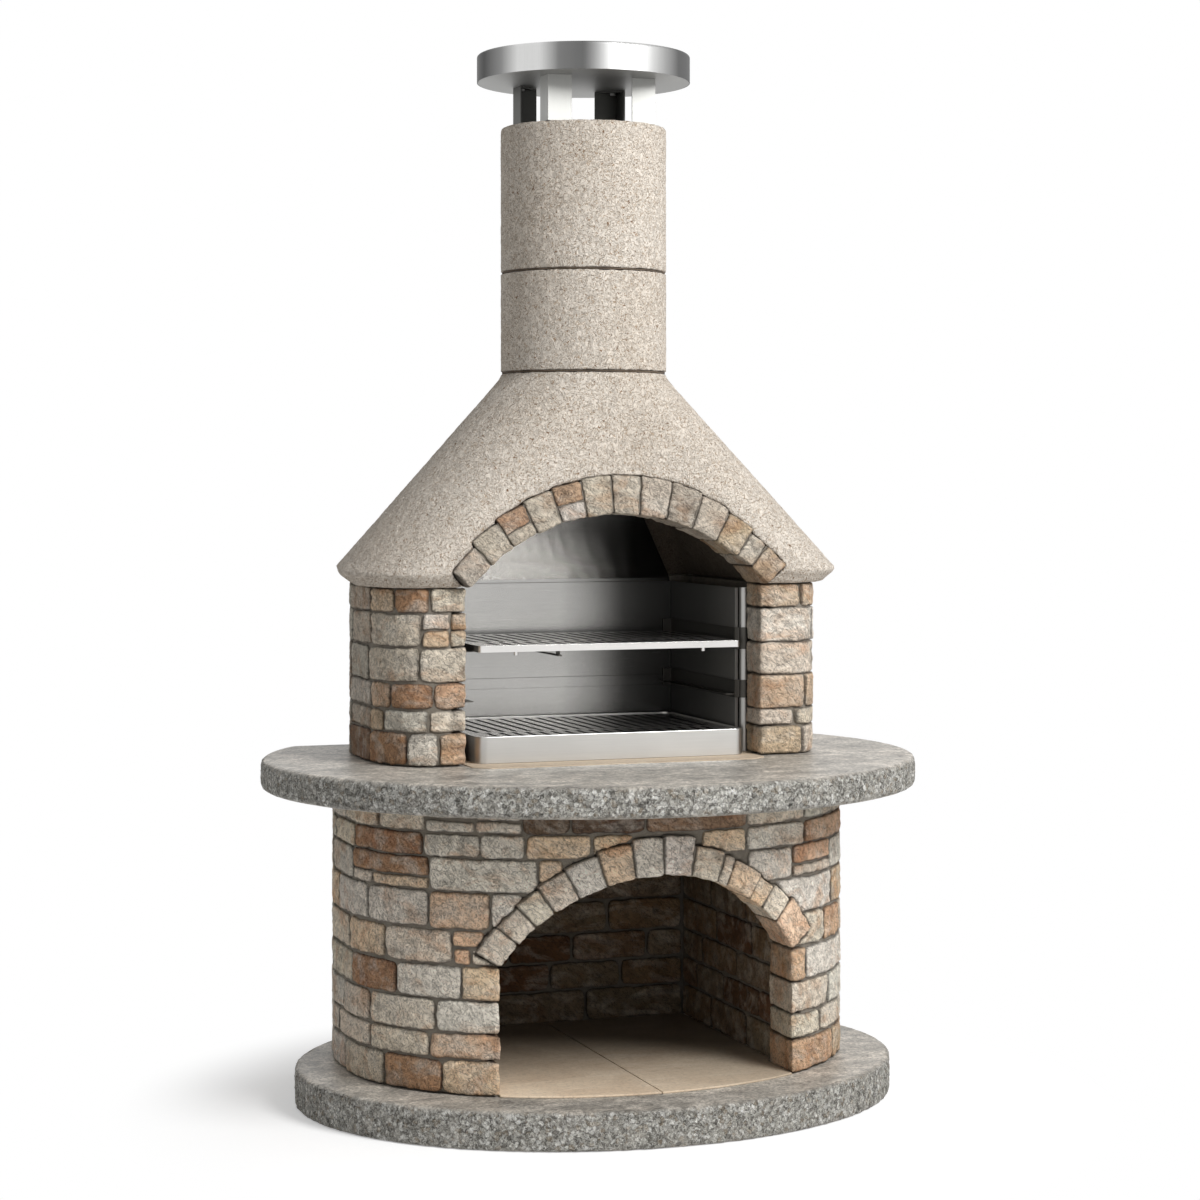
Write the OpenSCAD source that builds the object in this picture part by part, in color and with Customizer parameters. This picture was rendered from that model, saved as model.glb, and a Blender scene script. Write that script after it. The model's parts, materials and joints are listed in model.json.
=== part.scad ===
// Masonry barbecue: a cast plinth, a stone-faced wood store under a round-fronted
// table slab, two stone-faced piers round a steel-lined fire chamber, a rendered hood
// and chimney, and a steel cap on four legs. Origin on the ground at the middle of
// the footprint, front towards -Y, +Z up.

/* [Plinth and hearth] */
// Half width of the plinth's oval
plinth_a = 608; // [580:1:640]
// Half depth of the plinth's oval
plinth_b = 500; // [485:1:540]
// Front of the plinth, ahead of the origin
plinth_front = 405; // [395:1:450]
// Height of the plinth
plinth_h = 73; // [60:1:100]
// Thickness of the hearth tiles
tile_t = 4; // [3:0.5:8]
// Width of the joint between the hearth tiles
tile_joint = 2; // [1:0.5:4]

/* [Wood store] */
// Half width of the lower wall
wall_w = 511; // [495:1:530]
// Depth of the lower wall's rounded front
wall_b = 384; // [370:1:400]
// Front of the lower wall, ahead of the origin
wall_front = 284; // [270:1:300]
// Where the lower wall's straight side ends, behind the origin
wall_flank = 215; // [150:5:300]
// Half width of the lower wall at its back
wall_back_w = 447; // [400:1:480]
// Thickness of the lower wall at its front
wall_t = 95; // [80:1:110]
// Half width of the wood store's mouth
mouth_w = 298; // [270:1:305]
// Height of the mouth's straight sides above the plinth
mouth_spring = 244; // [180:1:280]
// Rise of the mouth's arch
mouth_rise = 168; // [120:1:190]
// Depth of the lower arch's deepest stone, measured up the face
mouth_ring = 74; // [60:1:90]
// Half width of the space inside the wood store
store_w = 312; // [306:1:330]
// Back of the space inside the wood store, behind the origin
store_back = 415; // [380:1:430]
// Width of the thick part of the corner stones at both openings
corner_w = 24; // [20:1:28]

/* [Stonework] */
// How far the facing stones stand out of their wall
stone_d = 10; // [6:1:16]
// Width of the joints between stones
joint = 5; // [4:1:12]
// Width of the joints between the arches' stones
arch_joint = 3; // [2:0.5:8]
// Gap behind a facing stone
bed = 0.2; // [0.1:0.1:0.5]
// How far the arch stones stand out of the facing
proud = 4; // [0:1:8]
// How far the mortar in the arches' joints lies behind the stones
mortar_in = 4; // [2:1:8]

/* [Table slab] */
// Half width of the table slab's oval
slab_a = 665; // [640:1:700]
// Half depth of the table slab's oval
slab_b = 608; // [580:1:640]
// Front of the table slab, ahead of the origin
slab_front = 480; // [460:1:520]
// Straight back of the plinth and slab, behind the origin
slab_back = 480; // [474:1:520]
// Thickness of the table slab
slab_t = 60; // [45:1:80]
// Rounding of the slab's edges
slab_r = 12; // [6:1:18]
// Thickness of the plate under the fire
plate_t = 3; // [2:0.5:6]
// How far the plate stands out of the slab
plate_proud = 1; // [0.5:0.5:2]
// Front of the plate, ahead of the origin
plate_front = 85; // [70:1:120]

/* [Fire chamber] */
// Half width over both piers
pier_w = 466; // [450:1:480]
// Front of the piers, ahead of the origin
pier_front = 27; // [15:1:60]
// Width of a pier's rounded corner
pier_a = 90; // [60:1:110]
// Depth of a pier's rounded corner
pier_b = 150; // [100:1:180]
// Where a pier's straight side ends, behind the origin
pier_flank = 255; // [200:5:300]
// Half width of the piers at their back
pier_back_w = 410; // [380:1:430]
// Back of the piers and the lower wall, behind the origin
back_y = 469; // [460:1:474]
// Height of the piers
pier_h = 345; // [320:1:400]
// Half width of the opening between the piers
fire_w = 310; // [306:1:316]
// Depth of the corner stones at the opening
fire_reveal = 75; // [60:1:90]
// Half width of the space behind the corner stones
chamber_w = 323; // [322:1:330]
// Thickness of the wall behind the fire
rear_t = 42; // [35:1:50]

/* [Steel lining] */
// Half width inside the steel lining
liner_w = 290; // [286:1:296]
// Thickness of the steel sheet
sheet = 1.5; // [1:0.5:2]
// Height of the steel lining
liner_h = 333; // [310:1:340]
// Radius of the front posts
post_r = 11; // [8:0.5:12]
// Height of the lower rails above the slab
rail_low_z = 110; // [90:1:130]
// Height of the upper rails above the slab
rail_up_z = 209; // [180:1:230]
// Height of the lower rails' strip
rail_low_h = 36; // [25:1:45]
// Height of the upper rails' strip
rail_up_h = 44; // [25:1:50]
// Width of the ledge that carries a grate
ledge_w = 22; // [16:1:24]
// Height of the raised band across the lining's back
band_h = 22; // [15:1:30]
// Height of the sheet above the lining, inside the hood
smoke_h = 170; // [120:5:220]

/* [Tray and grates] */
// Width of the ember tray
tray_w = 562; // [540:1:570]
// Depth of the ember tray
tray_d = 422; // [380:1:425]
// Height of the ember tray
tray_h = 52; // [40:1:65]
// Radius of the tray's corners
tray_r = 22; // [10:1:30]
// Front of the tray, ahead of the origin
tray_front = 12; // [0:1:20]
// Thickness of the grates' plates
grate_t = 4; // [3:0.5:6]
// Width of the cooking grate
grate_w = 550; // [538:1:560]
// Depth of the cooking grate
grate_d = 370; // [340:1:400]
// Height of the cooking grate's turned-down edge
grate_lip = 13; // [10:1:18]
// Distance between the grates' slots
slot_pitch = 27; // [20:1:34]
// Width of the grates' slots
slot_w = 9; // [6:1:12]
// Length of the slots in a grate's front row
slot_front = 88; // [60:1:120]
// Width of the solid rim round a grate's slots, and of the bridge between its two rows
slot_rim = 15; // [10:1:24]

/* [Hood] */
// Height of the hood
hood_h = 424; // [380:1:460]
// Height of the hood's undercut rim
rim_h = 27; // [20:1:40]
// Half width of the hood's rim
rim_w = 525; // [510:1:545]
// Front of the hood's rim, ahead of the origin
rim_front = 60; // [50:1:75]
// Half width of the hood where it meets the piers
foot_w = 490; // [484:1:505]
// How far the rim stands ahead of the foot
rim_over = 25; // [10:1:40]
// Half width of the hood's flat front
hood_flat = 375; // [360:1:385]
// Depth of the hood's rounded corners at its foot
hood_corner = 160; // [130:5:190]
// Rise of the hood's arch
fire_rise = 142; // [100:1:160]
// Depth of the hood's deepest arch stone, measured up the face
fire_ring = 76; // [60:1:85]

/* [Chimney and cap] */
// Outer radius of the chimney
chimney_r = 169; // [160:1:175]
// Radius of the flue
flue_r = 118; // [100:1:122]
// Chimney's axis, behind the origin
chimney_y = 169; // [160:1:190]
// Height of the chimney's lower ring
ring_low_h = 200; // [150:1:260]
// Height of the chimney's upper ring
ring_up_h = 294; // [240:1:340]
// Thickness of the mortar between the rings
ring_joint = 3; // [2:0.5:5]
// Radius of the steel cap
cap_r = 217; // [205:1:230]
// Height of the steel cap's drum
cap_h = 55; // [40:1:70]
// Height of the cap's legs
leg_h = 92; // [70:1:120]
// Width of a leg's two flanges
leg_w = 50; // [40:1:54]
// Thickness of a leg
leg_t = 3; // [2:0.5:4]
// Radius of the screws in the cap's legs
screw_r = 4; // [3:0.5:5]

/* [Hidden] */

// Steps along a rounded outline
steps = 24;
// A length past anything in the model, for cutting tools
far = 1500;
// Running gap between pieces that slide
slide_gap = 0.3;
// Height of a rail's ledge above the rail's lower edge
rail_ledge = 8;
// Height of the straight throat at the top of the hood's hollow
throat_h = 60;

// Heights of the levels
wall_h = 543;
slab_z = plinth_h + wall_h;
table_z = slab_z + slab_t;
hood_z = table_z + pier_h;
bed_low_z = hood_z + hood_h;
ring_low_z = bed_low_z + ring_joint;
bed_up_z = ring_low_z + ring_low_h;
ring_up_z = bed_up_z + ring_joint;
cap_foot_z = ring_up_z + ring_up_h;
cap_z = cap_foot_z + leg_h;

// Arches: radius, height of the centre and half angle from half width and rise
mouth_r = (mouth_w * mouth_w + mouth_rise * mouth_rise) / (2 * mouth_rise);
mouth_centre_z = plinth_h + mouth_spring + mouth_rise - mouth_r;
mouth_half = asin(mouth_w / mouth_r);
fire_r = (fire_w * fire_w + fire_rise * fire_rise) / (2 * fire_rise);
fire_centre_z = hood_z + fire_rise - fire_r;
fire_half = asin(fire_w / fire_r);

// Plan outlines: half width, corner width, corner depth, front, flank, back half width
wall_plan = [wall_w, wall_w, wall_b, -wall_front, wall_flank, wall_back_w];
pier_plan = [pier_w, pier_a, pier_b, -pier_front, pier_flank, pier_back_w];

// Rear face of the lining and front face of the rear wall
rear_y = back_y - rear_t;
liner_y = rear_y - 0.5;
reveal_y = fire_reveal - pier_front;
post_y = reveal_y + post_r + 3;
post_x = chamber_w - 2.5 - post_r;
clip_r = post_r + 2;

// Heights of the courses for the height that each wall is drawn at, and the lengths
// along half of each outline that the upright joints below are given for
wall_courses = [0, 67, 117, 178, 244, 311, 383, 446, 492, 543];
pier_courses_left = [0, 66, 110, 162, 230, 297, 345];
pier_courses_right = [0, 59, 93, 161, 227, 297, 345];
wall_run = 1083;
pier_run = 921;

// Arch stones from left to right: where each ends, as a share of the arch's half angle
// from the crown, its share of the deepest stone's depth, and where it is split in two
mouth_stones = [
    [-0.852, 0.65], [-0.724, 0.64], [-0.604, 0.7], [-0.461, 0.77], [-0.304, 0.81], [-0.143, 0.89],
    [0.009, 0.97], [0.167, 1], [0.33, 0.78], [0.391, 0.72], [0.561, 0.68], [0.66, 0.62],
    [0.789, 0.7], [1, 0.81]
];
fire_stones = [
    [-0.825, 0.62], [-0.661, 0.75], [-0.5, 0.82, 0.34], [-0.343, 0.87], [-0.187, 0.92, 0.43],
    [-0.033, 0.97], [0.122, 1], [0.283, 1], [0.445, 0.99], [0.604, 0.92], [0.754, 0.82],
    [0.858, 0.72], [1, 0.72]
];

// Facing stones of the lower wall: first course, last course and upright joints,
// measured along the wall from the middle of the front
left_rows = [
    [0, 1, [425, 563, 720, 870, wall_run]],
    [1, 2, [453, 603, 775, 930, wall_run]],
    [2, 3, [440, 605, 740, 880, wall_run]],
    [3, 4, [385, 529, 676, 830, 960, wall_run]],
    [4, 4.5, [290, 366, 404]],
    [4.5, 5, [340, 404]],
    [4, 5, [404, 559, 696, 850, wall_run]],
    [5, 6, [265, 329, 454, 612, 775, 930, wall_run]],
    [6, 7, [190, 237, 454]],
    [6, 6.4, [454, 597, 673]],
    [6.4, 7, [454, 673]],
    [6, 7, [673, 820, 960, wall_run]],
    [7, 8, [262, 348, 466, 665, 800, 930, wall_run]],
    [8, 8.5, [268, 359, 463]],
    [8.5, 9, [268, 359, 463]],
    [8, 9, [463, 579, 720, 870, wall_run]]
];
right_rows = [
    [0, 1, [478, 640, 790, 940, wall_run]],
    [1, 2, [411, 580, 720, 880, wall_run]],
    [2, 3, [453, 620, 760, 900, wall_run]],
    [3, 4, [356, 560, 700, 850, wall_run]],
    [4, 5, [290, 430, 535, 690, 840, wall_run]],
    [5, 6, [265, 471, 630, 780, 930, wall_run]],
    [6, 7, [190, 312]],
    [6, 6.4, [312, 459]],
    [6.4, 7, [312, 459]],
    [6, 7, [459, 620, 770, 920, wall_run]],
    [7, 8, [185, 350, 600, 740, 890, wall_run]],
    [8, 9, [185, 350, 459, 590, 730, 880, wall_run]]
];
centre_rows = [
    [7, 8, [-262, -136, -55]],
    [7, 8, [83, 185]],
    [8, 9, [-268, -177, -33, 185]]
];
// Corner stones of the mouth, a course each: where each ends along the wall
left_corners = [425, 453, 440, 385];
right_corners = [478, 411, 453, 356];

// Facing stones of the piers, and their corner stones: courses and end along the wall
pier_left_rows = [
    [0, 1, [364, 428, 550, 700, 820, pier_run]],
    [1, 2, [382, 491, 545, 690, 810, pier_run]],
    [2, 3, [373, 469, 543, 700, 830, pier_run]],
    [3, 4, [402, 560, 690, 810, pier_run]],
    [4, 4.5, [341, 397]],
    [4.5, 5, [339, 397]],
    [4, 5, [397, 545, 680, 800, pier_run]],
    [5, 6, [381, 458, 548, 690, 820, pier_run]]
];
pier_right_rows = [
    [0, 1, [403, 560, 690, 820, pier_run]],
    [1, 2, [383, 520, 650, 790, pier_run]],
    [2, 3, [412, 570, 700, 830, pier_run]],
    [3, 4, [470, 600, 740, pier_run]],
    [4, 5, [455, 590, 720, 840, pier_run]],
    [5, 6, [399, 520, 660, 800, pier_run]]
];
pier_left_corners = [
    [0, 1, 364], [1, 2, 382], [2, 3, 373], [3, 4, 402], [4, 4.5, 341], [4.5, 5, 339], [5, 6, 381]
];
pier_right_corners = [
    [0, 1, 403], [1, 2, 383], [2, 3, 412], [3, 4, 470], [4, 5, 455], [5, 6, 399]
];

// Lining stones of the wood store: courses from the plinth and upright joints
lining_courses = [0, 70, 128, 190, 256, 326, 392, 455, 543];
lining_side_joints = [[60, 250], [-10, 180, 330], [110, 300], [30, 220]];
lining_back_joints = [[-150, 90], [-220, 10, 170], [-80, 60, 230], [-190, -40, 140]];

// A plan outline's right half, from the middle of the front to the back, inset by d
function edge(plan, d) =
    let (w = plan[0] - d, a = plan[1] - d, b = plan[2] - d, front = plan[3] + d)
    concat(
        plan[0] > plan[1] ? [[0, front]] : [],
        [for (i = [0:steps]) [w - a + a * sin(90 * i / steps), front + b - b * cos(90 * i / steps)]],
        [[w, plan[4]], [plan[5] - d, back_y]]
    );

// Both halves of an outline as one closed list
function outline(plan, d) =
    let (right = edge(plan, d), n = len(right))
    concat(right, [for (i = [n - 1:-1:0]) if (right[i][0] > 0) [-right[i][0], right[i][1]]]);

// Distance along a line of points to each of them
function runs(p) = [
    for (i = 0, s = 0; i < len(p); s = s + (i < len(p) - 1 ? norm(p[i + 1] - p[i]) : 0), i = i + 1) s
];

// How much longer half a plan's outline is than the length its joints are given for
function stretch(plan, run) = let (r = runs(edge(plan, 0))) r[len(r) - 1] / run;

// Height of a course's foot, given as a number with a fraction, in a wall of height h
function level(courses, h, c) =
    let (n = len(courses) - 1) lookup(c, [for (i = [0:n]) [i, courses[i]]]) * h / courses[n];

// Place in a list of points, as an index with a fraction, at a distance along it
function place(p, s) = let (r = runs(p)) lookup(s, [for (i = [0:len(p) - 1]) [r[i], i]]);

// Point at an index with a fraction
function at(p, u) = let (i = min(floor(u), len(p) - 2), f = u - i) p[i] * (1 - f) + p[i + 1] * f;

// An oval's outline cut straight at the back
function oval(a, b, front, back) =
    let (centre = b - front, turn = acos((centre - back) / b))
    [for (i = [-2 * steps:2 * steps])
        let (t = turn * i / (2 * steps)) [a * sin(t), centre - b * cos(t)]];

// Strip of a wall's face between two distances along its right half
module half_strip(plan, s0, s1, depth) {
    outer = edge(plan, 0);
    inner = edge(plan, depth);
    u0 = place(outer, s0);
    u1 = place(outer, s1);
    us = concat([u0], [for (i = [ceil(u0 + 0.01):1:floor(u1 - 0.01)]) i], [u1]);
    n = len(us);
    polygon(concat([for (u = us) at(outer, u)], [for (i = [n - 1:-1:0]) at(inner, us[i])]));
}

// The same between two distances on either side of the middle
module strip(plan, s0, s1, depth) {
    if (s1 > 0) half_strip(plan, max(s0, 0), s1, depth);
    if (s0 < 0) mirror([1, 0, 0]) half_strip(plan, max(-s1, 0), -s0, depth);
}

// Prism that fills the courses from c0 to c1 of a wall, less a joint
module course(courses, h, base, c0, c1) {
    z0 = level(courses, h, c0);
    z1 = level(courses, h, c1);
    translate([0, 0, base + z0 + joint / 2]) linear_extrude(z1 - z0 - joint) children();
}

// Facing stones laid in rows
module facing(plan, rows, courses, h, base, run) {
    k = stretch(plan, run);
    for (row = rows) {
        for (i = [0:len(row[2]) - 2]) {
            gap = row[2][i + 1] == run ? 0 : joint / 2;
            course(courses, h, base, row[0], row[1])
                strip(plan, k * row[2][i] + joint / 2, k * row[2][i + 1] - gap, stone_d);
        }
    }
}

// Corner stones of an opening: through the wall at the jamb, then along the face
module corners(plan, list, courses, h, base, run, opening, depth) {
    k = stretch(plan, run);
    for (c = list) {
        course(courses, h, base, c[0], c[1])
            intersection() {
                translate([opening, -far]) square([far, 2 * far]);
                union() {
                    strip(plan, 0, k * c[2] - joint / 2, stone_d);
                    corner_block(plan, opening, depth, corner_w);
                }
            }
    }
}

// Footprint of a corner stone's thick part
module corner_block(plan, opening, depth, width) {
    intersection() {
        difference() {
            polygon(outline(plan, 0));
            polygon(outline(plan, depth));
        }
        translate([opening, -far]) square([width, far + plan[2] + plan[3]]);
    }
}

// Slice of an arch: a sector of a disc, drawn upright and centred on the front
module sector(r, half) {
    intersection() {
        circle(r = r, $fn = 96);
        polygon([[0, 0], [-4 * r * sin(half), 4 * r * cos(half)], [4 * r * sin(half), 4 * r * cos(half)]]);
    }
}

// Inner face of the lower wall at the outer edge of the wood store's lining
store_y = -wall_front + wall_b - (wall_b - wall_t) * cos(asin((store_w + stone_d) / (wall_w - wall_t)));

// Turns a shape drawn upright into a prism through the object, front to back
module through(y0, y1) {
    translate([0, y1, 0]) rotate([90, 0, 0]) linear_extrude(y1 - y0) children();
}

// Half the width of a joint between two arch stones, and the angle that it takes up
arch_gap = arch_joint / 2;
function joint_angle(r) = asin(arch_gap / r);

// Angles from upright at which an arch stone starts and ends
function from_angle(stones, half, i) = half * (i == 0 ? -1 : stones[i - 1][0]);
function to_angle(stones, half, i) = half * stones[i][0];

// Part of a ring between two angles, clockwise from upright
module ring_part(r0, r1, a0, a1) {
    difference() {
        rotate(-(a0 + a1) / 2) sector(r1, (a1 - a0) / 2);
        circle(r = r0, $fn = 96);
    }
}

// Face of the arch stones, side by side round the arch
module arch_face(r, ring, half, stones) {
    gap = joint_angle(r);
    for (i = [0:len(stones) - 1]) {
        a0 = from_angle(stones, half, i) + gap;
        a1 = to_angle(stones, half, i) - gap;
        top = r + ring * stones[i][1];
        if (len(stones[i]) == 2) ring_part(r, top, a0, a1);
        else {
            middle = r + ring * stones[i][2];
            ring_part(r, middle - arch_gap, a0, a1);
            ring_part(middle + arch_gap, top, a0, a1);
        }
    }
}

// Face of the mortar between the arch stones, set back from the arch's underside
module arch_joint_face(r, ring, half, stones) {
    gap = joint_angle(r);
    play = asin(bed / 2 / r);
    for (i = [0:len(stones) - 2]) {
        a = to_angle(stones, half, i);
        depth = min(stones[i][1], stones[i + 1][1]);
        ring_part(r + mortar_in, r + ring * depth - 1, a - gap + play, a + gap - play);
    }
    for (i = [0:len(stones) - 1])
        if (len(stones[i]) > 2)
            let (middle = r + ring * stones[i][2], slack = arch_gap - bed / 2)
                ring_part(
                    middle - slack, middle + slack,
                    from_angle(stones, half, i) + gap + play, to_angle(stones, half, i) - gap - play
                );
}

// Which way the outline of an arch is grown at the joint before stone i: towards the
// shallower of the two stones
function growth(stones, i) =
    i == 0 ? -1 : i == len(stones) ? 1 : sign(stones[i - 1][1] - stones[i][1]);

// Outline of an arch and the opening under it, grown by a gap
module arch_space(r, ring, half, stones, gap) {
    n = len(stones);
    parts = 4;
    more = asin(gap / r);
    ends = [for (i = [0:n]) (i == 0 ? -half : to_angle(stones, half, i - 1)) + more * growth(stones, i)];
    polygon(concat(
        [[0, 0]],
        [for (i = [0:n - 1], k = [0:parts])
            if (k < parts || growth(stones, i + 1) != 0)
                let (a = ends[i] + (ends[i + 1] - ends[i]) * k / parts, d = r + ring * stones[i][1] + gap)
                [d * sin(a), d * cos(a)]]
    ));
}

// Slots of a grate: a row of short ones in front and a row of long ones behind, set between them
module slots(w, front, back) {
    count = floor((w / 2 - slot_rim - slot_w) / slot_pitch);
    middle = front + slot_rim + slot_front;
    for (i = [-count:count - 1]) slot((i + 0.5) * slot_pitch, front + slot_rim, middle);
    for (i = [-count:count]) slot(i * slot_pitch, middle + slot_rim, back - slot_rim);
}

module slot(x, y0, y1) {
    r = slot_w / 2;
    translate([x - r, y0 + r]) square([slot_w, y1 - y0 - slot_w]);
    translate([x, y0 + r]) circle(r = r, $fn = 24);
    translate([x, y1 - r]) circle(r = r, $fn = 24);
}

// Rectangle with round corners, its front edge at y
module round_plate(w, d, y, r) {
    translate([-w / 2 + r, y]) square([w - 2 * r, d]);
    translate([-w / 2, y + r]) square([w, d - 2 * r]);
    for (sx = [-1, 1], sy = [0, 1])
        translate([sx * (w / 2 - r), sy == 0 ? y + r : y + d - r]) circle(r = r, $fn = 48);
}

// Plan of the space inside the wood store, with its lining left out
module store_plan(w, back) {
    intersection() {
        polygon(outline(wall_plan, wall_t));
        translate([-w, -far]) square([2 * w, far + back]);
    }
}

// Plan of the lower wall's core
module wall_core_plan() {
    difference() {
        polygon(outline(wall_plan, stone_d + bed));
        store_plan(store_w + stone_d + bed, store_back + stone_d + bed);
    }
}

module plinth() {
    color("darkgray")
        linear_extrude(plinth_h) polygon(oval(plinth_a, plinth_b, plinth_front, slab_back));
}

// One hearth tile, its inner edge half a joint from the middle
module hearth_tile() {
    x = tile_joint / 2;
    translate([0, 0, plinth_h])
        linear_extrude(tile_t)
            intersection() {
                polygon(outline(wall_plan, 0));
                union() {
                    translate([x, -wall_front]) square([mouth_w - 1 - x, wall_front]);
                    translate([x, store_y]) square([store_w - 1 - x, store_back - 1 - store_y]);
                }
            }
}

module hearth_tile_left() { color("burlywood") mirror([1, 0, 0]) hearth_tile(); }
module hearth_tile_right() { color("burlywood") hearth_tile(); }

// Band of the lower wall between two insets from its face, over its whole height
module wall_ring(d0, d1) {
    translate([0, 0, plinth_h]) linear_extrude(wall_h)
        difference() {
            polygon(outline(wall_plan, d0));
            polygon(outline(wall_plan, d1));
        }
}

module mouth_space(gap) { arch_space(mouth_r, mouth_ring, mouth_half, mouth_stones, gap); }

// Side of the lower wall, cut back where the corner stones and the arch stand
module lower_wall_side(side) {
    difference() {
        mirror([side < 0 ? 1 : 0, 0, 0])
            difference() {
                translate([0, 0, plinth_h]) linear_extrude(wall_h)
                    difference() {
                        wall_core_plan();
                        translate([-far, -far]) square([far + mouth_w, 2 * far]);
                        translate([0, store_back]) square([store_w + stone_d + bed, far]);
                    }
                translate([0, 0, plinth_h - 1]) linear_extrude(mouth_spring + 1)
                    corner_block(wall_plan, mouth_w - 1, wall_t + bed, corner_w + 1 + bed);
            }
        intersection() {
            translate([0, 0, mouth_centre_z])
                through(-far, far) mouth_space(bed);
            wall_ring(-1, wall_t + bed);
        }
    }
}

module lower_wall_left() { color("gray") lower_wall_side(-1); }
module lower_wall_right() { color("gray") lower_wall_side(1); }

module lower_wall_back() {
    inner = store_w + stone_d + bed;
    front = store_back + stone_d + bed;
    color("gray") translate([-inner, front, plinth_h]) cube([2 * inner, back_y - front, wall_h]);
}

module lower_lintel() {
    color("gray")
        difference() {
            translate([0, 0, plinth_h + mouth_spring]) linear_extrude(wall_h - mouth_spring)
                intersection() {
                    wall_core_plan();
                    translate([-mouth_w, -far]) square([2 * mouth_w, far]);
                }
            translate([0, 0, mouth_centre_z]) through(-far, 100) mouth_space(bed);
        }
}

// Space that the lower arch and its joint take out of the facing
module lower_arch_space() {
    translate([0, 0, mouth_centre_z]) through(-far, 100) mouth_space(2 * arch_gap);
}

module wall_facing(rows) {
    facing(wall_plan, rows, wall_courses, wall_h, plinth_h, wall_run);
}

// Facing of one side, kept outside the mouth and clear of the arch
module lower_side_stones(rows, side) {
    difference() {
        mirror([side < 0 ? 1 : 0, 0, 0]) wall_facing(rows);
        lower_arch_space();
        translate([-mouth_w, -far, 0]) cube([2 * mouth_w, far + 100, plinth_h + mouth_spring + 1]);
    }
}

module lower_stones_left() { color("tan") lower_side_stones(left_rows, -1); }
module lower_stones_right() { color("tan") lower_side_stones(right_rows, 1); }

module lower_stones_centre() {
    color("tan")
        difference() {
            wall_facing(centre_rows);
            lower_arch_space();
        }
}

// Corner stones of the mouth, one to each course
module mouth_corners(ends) {
    list = [for (i = [0:len(ends) - 1]) [i, i + 1, ends[i]]];
    corners(wall_plan, list, wall_courses, wall_h, plinth_h, wall_run, mouth_w, wall_t);
}

module lower_corners_left() { color("wheat") mirror([1, 0, 0]) mouth_corners(left_corners); }
module lower_corners_right() { color("wheat") mouth_corners(right_corners); }

module lower_arch() {
    color("wheat")
        intersection() {
            translate([0, 0, mouth_centre_z])
                through(-far, 100) arch_face(mouth_r, mouth_ring, mouth_half, mouth_stones);
            wall_ring(-proud, wall_t);
        }
}

// Mortar between the lower arch's stones
module lower_arch_joints() {
    color("gray")
        intersection() {
            translate([0, 0, mouth_centre_z])
                through(-far, 100) arch_joint_face(mouth_r, mouth_ring, mouth_half, mouth_stones);
            wall_ring(mortar_in - proud, wall_t - mortar_in);
        }
}

// Stones that line the wood store's right side
module store_side_stones() {
    y_front = store_y + joint / 2;
    y_back = store_back - joint / 2;
    for (i = [0:len(lining_courses) - 2]) {
        joints = concat([y_front], lining_side_joints[i % 4], [y_back]);
        for (k = [0:len(joints) - 2])
            course(lining_courses, wall_h, plinth_h, i, i + 1)
                translate([store_w, joints[k] + joint / 2])
                    square([stone_d, joints[k + 1] - joints[k] - joint]);
    }
}

module store_lining_left() { color("rosybrown") mirror([1, 0, 0]) store_side_stones(); }
module store_lining_right() { color("rosybrown") store_side_stones(); }

module store_lining_back() {
    color("rosybrown")
        for (i = [0:len(lining_courses) - 2]) {
            joints = concat([-store_w], lining_back_joints[i % 4], [store_w]);
            for (k = [0:len(joints) - 2])
                course(lining_courses, wall_h, plinth_h, i, i + 1)
                    translate([joints[k] + joint / 2, store_back])
                        square([joints[k + 1] - joints[k] - joint, stone_d]);
        }
}

// Rounded edge of the slab as a stack of outlines between its flat middle and its faces
module table_slab() {
    rounds = 3;
    color("darkgray")
        difference() {
            union() {
                translate([0, 0, slab_z + slab_r]) linear_extrude(slab_t - 2 * slab_r)
                    polygon(oval(slab_a, slab_b, slab_front, slab_back));
                for (i = [1:rounds]) {
                    t = 90 * i / rounds;
                    h0 = slab_r * sin(90 * (i - 1) / rounds);
                    h1 = slab_r * sin(t);
                    inset = slab_r * (1 - cos(t - 45 / rounds));
                    for (z = [slab_z + slab_t - slab_r + h0, slab_z + slab_r - h1])
                        translate([0, 0, z]) linear_extrude(h1 - h0)
                            polygon(oval(slab_a - inset, slab_b - inset, slab_front - inset, slab_back));
                }
            }
            translate([0, 0, table_z + plate_proud - plate_t]) linear_extrude(plate_t) fire_plate_plan(0.5);
        }
}

// Plan of the plate under the fire: cut corners in front, wider behind the corner stones
module fire_plate_plan(gap) {
    w = fire_w - 5 + gap;
    front = -plate_front - gap;
    cut = 30;
    polygon([
        [-w, reveal_y], [-w, front + cut], [-w + cut, front],
        [w - cut, front], [w, front + cut], [w, reveal_y]
    ]);
    translate([-chamber_w + 1 - gap, reveal_y + 1 - gap])
        square([2 * (chamber_w - 1 + gap), rear_y - reveal_y - 1 + gap]);
}

module fire_plate() {
    color("burlywood")
        translate([0, 0, table_z + plate_proud - plate_t]) linear_extrude(plate_t) fire_plate_plan(0);
}

module pier_core() {
    translate([0, 0, table_z]) linear_extrude(pier_h)
        difference() {
            polygon(outline(pier_plan, stone_d + bed));
            translate([-far, -far]) square([far + chamber_w, 2 * far]);
            translate([0, -far]) square([fire_w + corner_w + bed, far + reveal_y + bed]);
        }
}

module pier_left() { color("gray") mirror([1, 0, 0]) pier_core(); }
module pier_right() { color("gray") pier_core(); }

module rear_wall() {
    color("gray") translate([-chamber_w, rear_y, table_z]) cube([2 * chamber_w, rear_t, pier_h]);
}

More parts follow.
